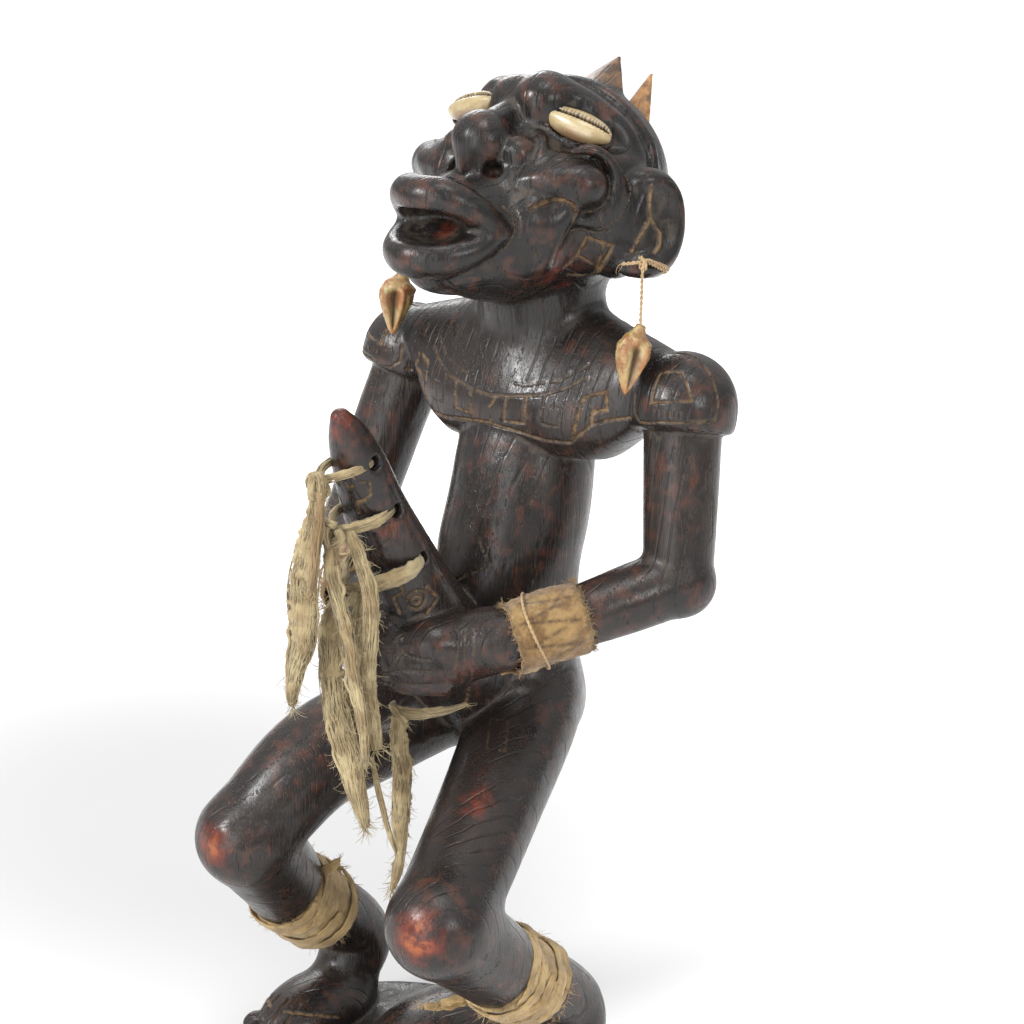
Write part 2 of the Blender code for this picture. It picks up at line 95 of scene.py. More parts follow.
def middle(a, b, t=0.5):
    return tuple(a[i] + (b[i] - a[i]) * t for i in range(3))


def frame_along(axis, across=(0.0, 0.0, 1.0)):
    z = Vector(axis).normalized()
    x = Vector(across).cross(z).normalized()
    y = z.cross(x)
    return Matrix((x, y, z)).transposed()


def band_frame(key):
    a, b, at, *_ = BANDS[key]
    axis = Vector(b) - Vector(a)
    return Vector(middle(a, b, at)), frame_along(axis)


def eye_turn(s):
    normal = Vector((s * 0.34, -0.52, 0.78)).normalized()
    across = Vector((1.0, s * 0.22, -s * 0.28))
    across = (across - normal * across.dot(normal)).normalized()
    return Matrix((across, normal.cross(across), normal)).transposed()


# ---------------------------------------------------------------- curves
def spline_points(knots, count):
    """Points on a Catmull-Rom curve, `count` to each stretch. Knots may carry
    extra columns, such as a radius."""
    k = np.array(knots, float)
    k = np.vstack([2 * k[0] - k[1], k, 2 * k[-1] - k[-2]])
    out = []
    for a, b, c, d in zip(k, k[1:], k[2:], k[3:]):
        for i in range(count):
            t = i / count
            out.append(0.5 * (2 * b + (c - a) * t + (2 * a - 5 * b + 4 * c - d) * t * t
                              + (3 * b - a - 3 * c + d) * t ** 3))
    out.append(k[-2])
    return np.array(out)


def even(points, step):
    p = np.array(points, float)
    along = np.concatenate([[0], np.cumsum(np.linalg.norm(np.diff(p[:, :3], axis=0), axis=1))])
    n = max(3, int(round(along[-1] / step)) + 1)
    at = np.linspace(0, along[-1], n)
    return np.stack([np.interp(at, along, p[:, i]) for i in range(p.shape[1])], 1)


# ---------------------------------------------------------------- carving field
FAR = 20.0


def smin(a, b, k):
    if k <= 0:
        return np.minimum(a, b)
    h = np.maximum(k - np.abs(a - b), 0.0) / k
    return np.minimum(a, b) - h * h * (k * 0.25)


def smax(a, b, k):
    return -smin(-a, -b, k)


class Ball:
    """An ellipsoid, with its axes turned by `turn`."""

    def __init__(self, centre, radii, turn=None):
        self.c = np.array(centre, float)
        self.r = np.array(radii if hasattr(radii, "__len__") else (radii,) * 3, float)
        self.t = None if turn is None else np.array(turn, float)
        big = self.r.max() if turn is not None else self.r
        self.lo, self.hi = self.c - big, self.c + big

    def __call__(self, x, y, z):
        p = [x - self.c[0], y - self.c[1], z - self.c[2]]
        if self.t is not None:
            t = self.t
            p = [p[0] * t[0, i] + p[1] * t[1, i] + p[2] * t[2, i] for i in range(3)]
        r = self.r
        k0 = np.sqrt((p[0] / r[0]) ** 2 + (p[1] / r[1]) ** 2 + (p[2] / r[2]) ** 2)
        k1 = np.sqrt((p[0] / r[0] ** 2) ** 2 + (p[1] / r[1] ** 2) ** 2
                     + (p[2] / r[2] ** 2) ** 2)
        return (k0 * (k0 - 1.0) / np.maximum(k1, 1e-6)).astype(np.float32)


class Tube:
    """A chain of round cones along a smooth curve."""

    def __init__(self, points, radii, count=5, closed=False, straight=False):
        k = np.column_stack([np.array(points, float), np.array(radii, float)])
        if closed:
            wrap = np.vstack([k[-2:], k, k[:2]])
            full = spline_points(wrap, count)
            self.p = full[2 * count: -2 * count + count]
        elif straight or len(k) < 3:
            self.p = k
        else:
            self.p = spline_points(k, count)
        r = self.p[:, 3:4]
        self.lo = (self.p[:, :3] - r).min(0)
        self.hi = (self.p[:, :3] + r).max(0)

    def __call__(self, x, y, z):
        X, Y, Z = x.ravel(), y.ravel(), z.ravel()
        d = np.full((len(X), len(Y), len(Z)), FAR, np.float32)
        for a, b in zip(self.p, self.p[1:]):
            r = max(a[3], b[3]) + 9.0
            lo, hi = np.minimum(a[:3], b[:3]) - r, np.maximum(a[:3], b[:3]) + r
            (i0, i1), (j0, j1), (k0, k1) = (np.searchsorted(v, (lo[n], hi[n]))
                                            for n, v in enumerate((X, Y, Z)))
            if i0 >= i1 or j0 >= j1 or k0 >= k1:
                continue
            px = (X[i0:i1] - a[0])[:, None, None]
            py = (Y[j0:j1] - a[1])[None, :, None]
            pz = (Z[k0:k1] - a[2])[None, None, :]
            e = (b[:3] - a[:3]).astype(np.float32)
            t = np.clip((px * e[0] + py * e[1] + pz * e[2]) / max(float(e @ e), 1e-6), 0, 1)
            q = np.sqrt((px - t * e[0]) ** 2 + (py - t * e[1]) ** 2 + (pz - t * e[2]) ** 2)
            q -= a[3] + (b[3] - a[3]) * t
            np.minimum(d[i0:i1, j0:j1, k0:k1], q, out=d[i0:i1, j0:j1, k0:k1])
        return d


class Solid:
    """A shape given by its box and a function of x, y and z."""

    def __init__(self, lo, hi, function):
        self.lo, self.hi, self.function = np.array(lo, float), np.array(hi, float), function

    def __call__(self, x, y, z):
        return self.function(x, y, z)


class Field:
    def __init__(self, lo, hi, step):
        self.step, self.lo = step, np.array(lo, float)
        self.n = np.ceil((np.array(hi) - self.lo) / step).astype(int) + 1
        self.f = np.full(self.n, FAR, np.float32)

    def window(self, lo, hi):
        a = np.clip(np.floor((lo - self.lo) / self.step).astype(int), 0, self.n)
        b = np.clip(np.ceil((hi - self.lo) / self.step).astype(int) + 1, 0, self.n)
        axes = [(self.lo[i] + self.step * np.arange(a[i], b[i])).astype(np.float32)
                for i in range(3)]
        return (tuple(slice(a[i], b[i]) for i in range(3)), axes[0][:, None, None],
                axes[1][None, :, None], axes[2][None, None, :])

    def add(self, shape, k=0.0):
        at, x, y, z = self.window(shape.lo - k - 3, shape.hi + k + 3)
        self.f[at] = smin(self.f[at], shape(x, y, z), k)

    def cut(self, shape, k=0.0):
        at, x, y, z = self.window(shape.lo - k - 3, shape.hi + k + 3)
        self.f[at] = smax(self.f[at], -shape(x, y, z), k)


def both(shapes, k):
    """The smooth union of several shapes, as one shape."""
    lo = np.min([s.lo for s in shapes], 0)
    hi = np.max([s.hi for s in shapes], 0)

    def function(x, y, z):
        d = shapes[0](x, y, z)
        for s in shapes[1:]:
            d = smin(d, s(x, y, z), k)
        return d
    return Solid(lo, hi, function)


def trimmed(shape, plane, k):
    """The shape where plane(x, y, z) is below zero."""
    return Solid(shape.lo, shape.hi, lambda x, y, z: smax(shape(x, y, z), plane(x, y, z), k))


def disc(cx, cy, rx, ry, z0, z1, rim):
    def function(x, y, z):
        qx, qy = (x - cx) / rx, (y - cy) / ry
        k0 = np.sqrt(qx ** 2 + qy ** 2)
        k1 = np.sqrt((qx / rx) ** 2 + (qy / ry) ** 2)
        side = k0 * (k0 - 1) / np.maximum(k1, 1e-6)
        flat = np.abs(z - (z0 + z1) / 2) - (z1 - z0) / 2
        return smax(side + 0 * z, flat + 0 * x + 0 * y, rim)
    return Solid((cx - rx, cy - ry, z0), (cx + rx, cy + ry, z1), function)


def band_seat(key):
    """The turned seat of a cloth band: what lies outside the seat's radius."""
    centre, turn = band_frame(key)
    t = np.array(turn)
    half, inner = BANDS[key][3] / 2 + 0.3, BANDS[key][4] - 0.3
    c, reach = np.array(centre), inner + 24.0

    def function(x, y, z):
        p = [x - c[0], y - c[1], z - c[2]]
        u, v, w = (p[0] * t[0, i] + p[1] * t[1, i] + p[2] * t[2, i] for i in range(3))
        r = np.sqrt(u * u + v * v)
        return np.maximum(np.maximum(inner - r, r - inner - 9.0), np.abs(w) - half)
    return Solid(c - reach, c + reach, function)


def carve(step):
    """The whole figure as one distance field, in millimetres."""
    f = Field((-88.0, -110.0, -4.0), (86.0, 77.0, 362.0), step)

    # base and the low mound between the feet
    f.add(disc(-4.0, -31.0, 59.5, 42.5, -9.0, 11.0, 4.0))
    f.add(Ball((-1, -32, 6), (27, 41, 27)), 1.2)
    for s in (1, -1):
        ax, ay, _ = ANKLE[s]
        f.add(Ball((ax - s, ay - 21, 13), (16, 27, 13)), 1.5)
        for i, (dx, dy, r) in enumerate(((-9, -1, 4.6), (-3.4, 2, 4.4), (2.0, 2.5, 4.2),
                                         (7.0, 1.5, 4.0), (11.4, -1.5, 3.6))):
            f.add(Ball((ax - s + s * dx, ay - 44.5 - dy, 12.5), (r * 0.78, r * 1.35, r)), 1.0)

    # legs
    for s in (1, -1):
        knee, shin, ankle = KNEE[s], SHIN[s], ANKLE[s]
        thigh = ([(8, 0, 143), (14.5, -10.0, 139.0), (29, -48, 119.5), knee],
                 [16.2, 18.6, 17.2, 16.2])
        if s < 0:   # the right thigh is carried higher and is a little fuller
            thigh = ([(-8, 0, 145), (-14.5, -11.0, 144.5), (-27.3, -40.5, 133.0),
                      (-37.2, -63.5, 122.5), knee], [17.0, 20.0, 18.8, 18.0, 16.2])
        f.add(Tube(*thigh, count=8), 5)
        f.add(Tube([knee, middle(knee, shin, 0.3), middle(knee, shin, 0.6), shin, ankle,
                    (ankle[0], ankle[1] - 4.0, 22.0)],
                   [16.2, 15.9, 15.2, 14.2, 12.0, 12.0], count=9), 5)
        f.add(Ball((ankle[0], ankle[1] + 1.0, 31.0), (11.4, 12.3, 13.6)), 4)
    for s in (1, -1):
        f.add(Ball((s * 9.2, 8.8, 140), (12.6, 13.0, 15.4)), 5)
    f.cut(Tube([(0, 28, 154), (0, 27.5, 140), (0, 21, 125)], [1.4, 2.6, 2.4]), 4)

    # trunk
    f.add(Tube([(0, 2, 138), (1, -3, 164), (1, -5, 190), (2, -0.5, 212), (1, 4.5, 232),
                (0, 10, 250)], [22.4, 24.0, 24.8, 24.6, 23.4, 20.0]), 8)
    f.add(Ball((0, -22.5, 181), (9, 8, 12)), 10)

    # chest plate, like a short cape, with its rolled lower edge
    cape = both([Ball((0, 8.5, 247), (49.5, 25.6, 22.5)),
                 Tube([(-48, 12, 257), (-30, 12.5, 260), (0, 12, 264), (30, 12.5, 260),
                       (48, 12, 257)], [14.5, 16.5, 20.0, 16.5, 14.5])], 9)

    def lower(x, y, z):
        ax = np.abs(x - 1.5)
        side = np.where(x < 1.5, 25.5, 33.0)
        edge = 234.6 - 0.14 * np.minimum(ax, 31.0) + 1.05 * np.maximum(ax - side, 0.0)
        return (edge - z + 0 * y) * 0.85
    f.add(trimmed(cape, lower, 4.5), 1.0)

    # arms
    for s in (1, -1):
        top, elbow, wrist, hand = (np.array(v[s]) for v in (SHOULDER, ELBOW, WRIST, HAND))
        straight = middle(elbow, wrist, 0.62)
        elbow = elbow + ((-2.4, -1.0, 0.0) if s > 0 else (1.0, -9.5, -5.5))
        top = top - (s * 1.5, 0.0, 0.0)
        f.add(Tube([top + (0, 0, -3), middle(top, elbow, 0.4), middle(top, elbow, 0.8), elbow],
                   [13.0, 12.6, 11.9, 11.4]), 2.0)
        f.add(Tube([elbow, middle(elbow, straight, 0.5), straight, wrist,
                    middle(wrist, hand, 0.45)], [11.4, 11.3, 10.5, 9.2, 10.5]), 2.5)
        f.add(Ball(elbow + (s * 0.4, 1.2, -1.0), (11.5, 11.8, 11.0)), 2)
        axis = (elbow - top) / np.linalg.norm(elbow - top)
        sleeve = both([Ball(top, (17.2, 17.0, 17.8)),
                       Tube([top, top + axis * 12], [15.6, 15.8], straight=True)], 5)

        def hem(x, y, z, top=top, axis=axis):
            along = ((x - top[0]) * axis[0] + (y - top[1]) * axis[1]
                     + (z - top[2]) * axis[2])
            return along - 8.6 - 0.10 * (y - top[1])
        f.add(trimmed(sleeve, hem, 3.0), 1.2)
        # mitten hands that close round the foot of the emblem
        f.add(Tube([middle(wrist, hand, 0.35), hand, (s * 1.0, hand[1] - 8.0, hand[2] - 0.5)],
                   [10.5, 12.6, 10.4]), 2.5)
        f.add(Ball((s * 13.0, hand[1] - 1.5, hand[2] + 5.8), (12.0, 12.6, 9.0)), 3)
        for n, dz in enumerate((7.0, 1.6, -3.8, -8.8)):
            f.add(Tube([(s * 19.0, hand[1] - 5.0, hand[2] + dz),
                        (s * 9.0, hand[1] - 10.4, hand[2] + dz - 0.5),
                        (s * -1.5, hand[1] - 10.6, hand[2] + dz - 0.8)],
                       [2.6, 2.9, 2.6]), 2.6)

    # pierced emblem
    f.add(Tube([(0, y, z) for y, z, _ in EMBLEM], [r for _, _, r in EMBLEM]), 2.0)

    carve_head(f)

    for y, z in HOLES:
        f.cut(Tube([(-30, y, z), (30, y, z)], [2.3, 2.3], straight=True), 0.9)
    for key in BANDS:
        f.cut(band_seat(key), 0.0)
    f.cut(Solid((-100, -120, -10), (100, 100, 0), lambda x, y, z: z + 0 * x + 0 * y), 0.0)
    return f


def carve_head(f):
    # neck
    f.add(Tube([(0, 12, 252), (0, 12, 270), (0, 10, 290)], [24.0, 21.3, 22.5]), 5)
    # skull, cheeks, jaw and muzzle
    head = both([Ball((0, 18, 318), (35, 38, 35)),
                 Ball((0, -5, 317), (30.5, 26.5, 25)),
                 Ball((0, -14, 305), (26.5, 30, 21)),
                 Ball((0, 3, 303), (30.5, 21, 17))], 5)
    f.add(head, 4)
    f.add(Ball((0, -30, 313), (18.5, 21, 14)), 6)
    f.add(Ball((0, -38.5, 297.5), (14, 13, 8)), 5)
    # hair cap: a slightly larger skull behind its rim
    rim_plane = lambda x, y, z: (22.5 + 0.10 * np.abs(x) - y) * 0.95 + 0.10 * (330 - z)
    f.add(trimmed(Ball((0, 18.4, 318), (36.2, 39.0, 36.3)), rim_plane, 1.2), 0.5)
    rim = [(-34.2, 25.5, 322), (-30.0, 26, 336.5), (-15, 24, 349.0), (0, 22.3, 352.0),
           (15, 24, 349.0), (30.0, 26, 336.5), (34.2, 25.5, 322)]
    f.add(Tube(rim, [1.5, 2.1, 2.4, 2.5, 2.4, 2.1, 1.5]), 2.5)

    for s in (1, -1):
        # ledge under the eye: the turn from the upward face to its side
        f.add(Tube([(s * 12, -17, 330.5), (s * 20, -14.5, 330.6), (s * 27, -8.5, 330.8),
                    (s * 31.5, 1, 331.0), (s * 33.5, 10, 330)],
                   [4.0, 3.6, 3.4, 3.4, 3.0]), 5)
        # the brow's ridge over the eye
        f.add(Tube([(s * 7, 1, 347.5), (s * 15, 6.0, 348.0), (s * 22, 9.0, 345.2),
                    (s * 29, 13.0, 339.6), (s * 33.0, 16, 332)],
                   [7.4, 6.2, 5.0, 4.2, 3.0]), 6)
        # eye bowl and the gum bed that the shell sits in
        turn = eye_turn(s)
        e = Vector(EYE[s])
        n = turn.col[2]
        f.cut(Ball(e + n * 3.6, (13.6, 6.9, 3.9), turn), 2.6)
        f.add(Ball(e - n * 2.6, (12.9, 5.9, 4.7), turn), 1.0)
        f.cut(Ball(e, (COWRIE[0] + 0.25, COWRIE[1] + 0.25, COWRIE[2] + 0.25), turn), 0.0)
        # cheek boss: a round head with a short tail towards the nose
        f.cut(Ball((s * 33.0, -10.2, 325.2), (9.6, 9.8, 9.4)), 2.6)
        f.add(Tube([(s * 30.6, -9.2, 325.2), (s * 27.2, -14.4, 326.4), (s * 22.6, -19.0, 326.6),
                    (s * 17.6, -22.0, 326.0)], [7.0, 6.2, 4.6, 2.6]), 2.6)
        f.add(Ball((s * 31.0, -9.4, 325.0), 7.8), 1.4)
        beside, hub = np.array((s * 0.6, 0.8, 0.0)), np.array((s * 31.0, -9.2, 325.0))
        turn = np.radians(np.linspace(110, -125, 9))[:, None]
        ringed = hub + (np.cos(turn) * beside + np.sin(turn) * (0, 0, 1)) * 11.4
        if s > 0:
            f.add(Tube([tuple(q) for q in ringed], [0.8] + [1.9] * 7 + [0.8]), 1.6)
        ringed = hub + (np.cos(turn) * beside + np.sin(turn) * (0, 0, 1)) * 9.0
        ringed += np.array((s * 0.8, -0.6, 0.0)) * 2.2
        f.cut(Tube([tuple(q) for q in ringed], [0.7] + [1.3] * 7 + [0.7]), 0.9)
        # leaf-shaped fold between boss and mouth
        f.add(Tube([(s * 28.4, -14.2, 318.2), (s * 26.8, -17.2, 313.5),
                    (s * 25.2, -19.0, 307.5), (s * 23.4, -20.0, 300.5)],
                   [4.3, 4.6, 3.8, 2.6]), 3.0)
        f.add(Ball((s * 28.9, -13.4, 318.8), 3.9), 1.0)
        f.add(Ball((s * 22.0, -23.0, 313.5), (5.5, 6.5, 7.5)), 5)
        # ear flap: a filled plate whose back and lower edge is rolled
        turn = frame_along((s * 0.90, -0.42, 0.06), (0, 0, 1))
        f.add(Ball((s * 32.6, 9.0, 311.5), (9.0, 14.5, 19.0)), 6)
        f.add(Ball((s * 42.2, 15.2, 311.0), (10.4, 17.6, 5.0), turn), 5)
        x, y, z = LOBE[s]
        f.add(Tube([(s * 38, 9, 325.6), (s * 42.6, 13.5, 325.0), (s * 45.2, 19.5, 319.5),
                    (s * 45.6, 21.2, 310), (s * 45.2, 19.0, 303.0), (x - s * 0.8, 13.5, z + 1.2),
                    (x - s * 1.6, y, z + 0.2), (s * 40.6, 4.6, z + 0.2)],
                   [2.8, 3.3, 3.4, 3.4, 3.6, 3.8, 3.7, 3.2]), 3)
        f.cut(Ball((s * 49.2, 13.2, 313.2), (6.4, 11.0, 4.4), turn), 4)

    # brow lobes at the root of the nose
    f.add(Ball((7.4, 0.2, 349.2), (9.8, 10.4, 9.2)), 4.5)
    f.add(Ball((-4.0, 0.2, 347.8), (7.0, 8.2, 7.8)), 3.4)
    f.cut(Tube([(0.3, -9, 354), (0.3, 2, 359.4), (0.3, 12, 359)], [1.6, 1.6, 1.2]), 2.4)

    # nose: bridge, bulb, septum and ball-like wings in ringed settings
    for s in (1, -1):
        f.add(Tube([(s * 12.0, -9.5, 339.0), (s * 16.4, -12.5, 337.6), (s * 18.6, -16.8, 334.0),
                    (s * 17.2, -21.6, 330.0)], [1.4, 1.9, 2.0, 1.4]), 1.6)
        f.cut(Tube([(s * 12.6, -12.6, 340.0), (s * 16.6, -16.2, 338.4), (s * 18.6, -20.6, 334.4),
                    (s * 16.8, -24.4, 330.4)], [1.2, 1.5, 1.5, 1.2]), 1.2)
        f.add(Ball((s * 12.0, -18.4, 334.0), (5.8, 6.2, 5.8)), 1.4)
    f.add(Tube([(0, -1, 346), (0, -9, 344.0), (0, -16, 340.6), (0, -21.0, 337.6)],
               [4.0, 5.0, 6.4, 8.4]), 2.4)
    f.add(Ball((0, -22.6, 337.2), (9.9, 9.8, 9.9)), 1.2)
    f.add(Tube([(0, -25.6, 331.6), (0, -28.6, 327.4), (0, -30.2, 325.0)], [6.4, 4.2, 2.6]), 2.0)
    for s in (1, -1):
        f.cut(Ball((s * 7.4, -25.2, 328.0), (3.0, 3.2, 2.6)), 2.6)
    f.add(Ball((-20.0, -14.0, 325.5), 7.4), 4.5)
    f.add(Ball((-16.5, -18.2, 328.0), 6.4), 3.5)
    f.add(Ball((-14.3, -20.8, 327.0), 5.4), 3.0)

    # everted lips and the shallow open mouth
    upper = [(-17.8, -36.0, 311.5), (-14.5, -42, 318.0), (-8, -48.2, 322.2),
             (0, -51.2, 322.6), (8, -48.2, 322.2), (14.5, -42, 318.0), (17.8, -36.0, 311.5)]
    lower_lip = [(-17.8, -36.0, 311.0), (-14.8, -43.5, 306.4), (-8.5, -51.0, 304.0),
                 (0, -54.8, 303.6), (8.5, -51.0, 304.0), (14.8, -43.5, 306.4),
                 (17.8, -36.0, 311.0)]
    f.add(Tube(upper, [3.4, 5.0, 6.2, 6.4, 6.2, 5.0, 3.4]), 2.6)
    f.add(Tube(lower_lip, [3.4, 4.9, 6.3, 6.7, 6.3, 4.9, 3.4]), 2.6)
    f.cut(Ball((0, -52.0, 313.4), (15.4, 12.5, 5.4)), 1.6)
    f.add(Ball((0, -38.0, 309.0), (12.0, 6.5, 4.0)), 3.0)
    f.cut(Tube([(-4.5, -33.5, 329), (0, -34.0, 327), (4.5, -33.5, 329)], [2.0, 1.8, 2.0]), 2)

    # crown spikes: broad at the foot, with flattened faces
    for base, tip, wide, deep in (((0, 32.6, 343.0), (0, 50.8, 359.2), 15.6, 6.6),
                                  ((0, 54, 327.5), (0, 70.6, 352.6), 10.4, 5.2)):
        a, b = np.array(base), np.array(tip)
        length = np.linalg.norm(b - a)
        t = np.array(frame_along(b - a, (1, 0, 0)))

        def blade(x, y, z, a=a, t=t, length=length, wide=wide, deep=deep):
            p = [x - a[0], y - a[1], z - a[2]]
            u, v, w = (p[0] * t[0, i] + p[1] * t[1, i] + p[2] * t[2, i] for i in range(3))
            part = np.clip(1.03 - w / length, 0.05, 1.4)
            side = (np.sqrt((np.abs(u) / deep) ** 1.6 + (np.abs(v) / wide) ** 1.6 + 1e-9)
                    ** 1.25 - part) * deep
            return smax(side, w - length, 0.6)
        reach = np.array([11.0, 11.0, 11.0])
        f.add(Solid(np.minimum(a, b) - reach, np.maximum(a, b) + (9, 9, 0.8), blade), 1.6)


# ---------------------------------------------------------------- meshing
def surface_nets(field):
    """Vertices and quads of the field's zero level, one vertex to each crossed
    cell."""
    f, step = field.f, field.step
    inside = f < 0
    total = np.zeros(np.array(f.shape) - 1, np.uint8)
    corners = [(i, j, k) for i in (0, 1) for j in (0, 1) for k in (0, 1)]
    nx, ny, nz = total.shape
    for i, j, k in corners:
        total += inside[i:i + nx, j:j + ny, k:k + nz]
    cells = np.flatnonzero((total > 0) & (total < 8))
    index = np.full(total.size, -1, np.int32)
    index[cells] = np.arange(len(cells), dtype=np.int32)
    index = index.reshape(total.shape)
    ci, cj, ck = np.unravel_index(cells, total.shape)
    value = {c: f[ci + c[0], cj + c[1], ck + c[2]] for c in corners}
    place = np.zeros((len(cells), 3))
    count = np.zeros(len(cells))
    for a in corners:
        for axis in range(3):
            if a[axis]:
                continue
            b = tuple(1 if n == axis else a[n] for n in range(3))
            va, vb = value[a], value[b]
            hit = (va < 0) != (vb < 0)
            t = np.where(hit, va / np.where(hit, va - vb, 1.0), 0.0)
            point = np.array(a, float)[None, :].repeat(len(cells), 0)
            point[:, axis] = t
            place += point * hit[:, None]
            count += hit
    place /= count[:, None]
    verts = (np.column_stack([ci, cj, ck]) + place) * step + field.lo
    quads = []
    for axis in range(3):
        first = [slice(1, -1)] * 3
        second = [slice(1, -1)] * 3
        first[axis], second[axis] = slice(0, -1), slice(1, None)
        a, b = inside[tuple(first)], inside[tuple(second)]
        at = np.nonzero(a != b)
        flip = a[at]
        g = [v.astype(np.int64) + (0 if n == axis else 1) for n, v in enumerate(at)]
        u, v = (axis + 1) % 3, (axis + 2) % 3
        ring = []
        for du, dv in ((-1, -1), (0, -1), (0, 0), (-1, 0)):
            c = [g[0].copy(), g[1].copy(), g[2].copy()]
            c[u] += du
            c[v] += dv
            ring.append(index[c[0], c[1], c[2]])
        q = np.stack(ring, 1)
        q[~flip] = q[~flip][:, ::-1]
        quads.append(q)
    return verts, np.concatenate(quads)


def fill_mesh(name, verts_mm, faces):
    """A mesh from arrays of points, in mm, and of triangles or quads."""
    mesh = bpy.data.meshes.new(name)
    v = np.asarray(verts_mm, np.float32) * MM
    q = np.asarray(faces, np.int32)
    mesh.vertices.add(len(v))
    mesh.vertices.foreach_set("co", v.ravel())
    mesh.loops.add(q.size)
    mesh.loops.foreach_set("vertex_index", q.ravel())
    mesh.polygons.add(len(q))
    mesh.polygons.foreach_set("loop_start", np.arange(0, q.size, q.shape[1], dtype=np.int32))
    mesh.update(calc_edges=True)
    return mesh


def link(name, mesh, material=None, smooth=True):
    obj = bpy.data.objects.new(name, mesh)
    SCENE.collection.objects.link(obj)
    if material is not None:
        mesh.materials.clear()
        mesh.materials.append(material)
    if smooth and obj.type == "MESH":
        mesh.shade_smooth()
    return obj


def applied(obj):
    """The object's mesh with its modifiers applied."""
    graph = bpy.context.evaluated_depsgraph_get()
    mesh = bpy.data.meshes.new_from_object(obj.evaluated_get(graph))
    old = obj.data
    obj.modifiers.clear()
    obj.data = mesh
    bpy.data.meshes.remove(old)
    return obj


def points_of(mesh):
    co = np.empty(len(mesh.vertices) * 3, np.float32)
    mesh.vertices.foreach_get("co", co)
    return co.reshape(-1, 3).astype(float) / MM


def normals_of(mesh):
    no = np.empty(len(mesh.vertices) * 3, np.float32)
    mesh.vertex_normals.foreach_get("vector", no)
    return no.reshape(-1, 3).astype(float)


def set_attribute(mesh, name, values):
    layer = mesh.attributes.get(name) or mesh.attributes.new(name, "FLOAT", "POINT")
    layer.data.foreach_set("value", np.asarray(values, np.float32).ravel())


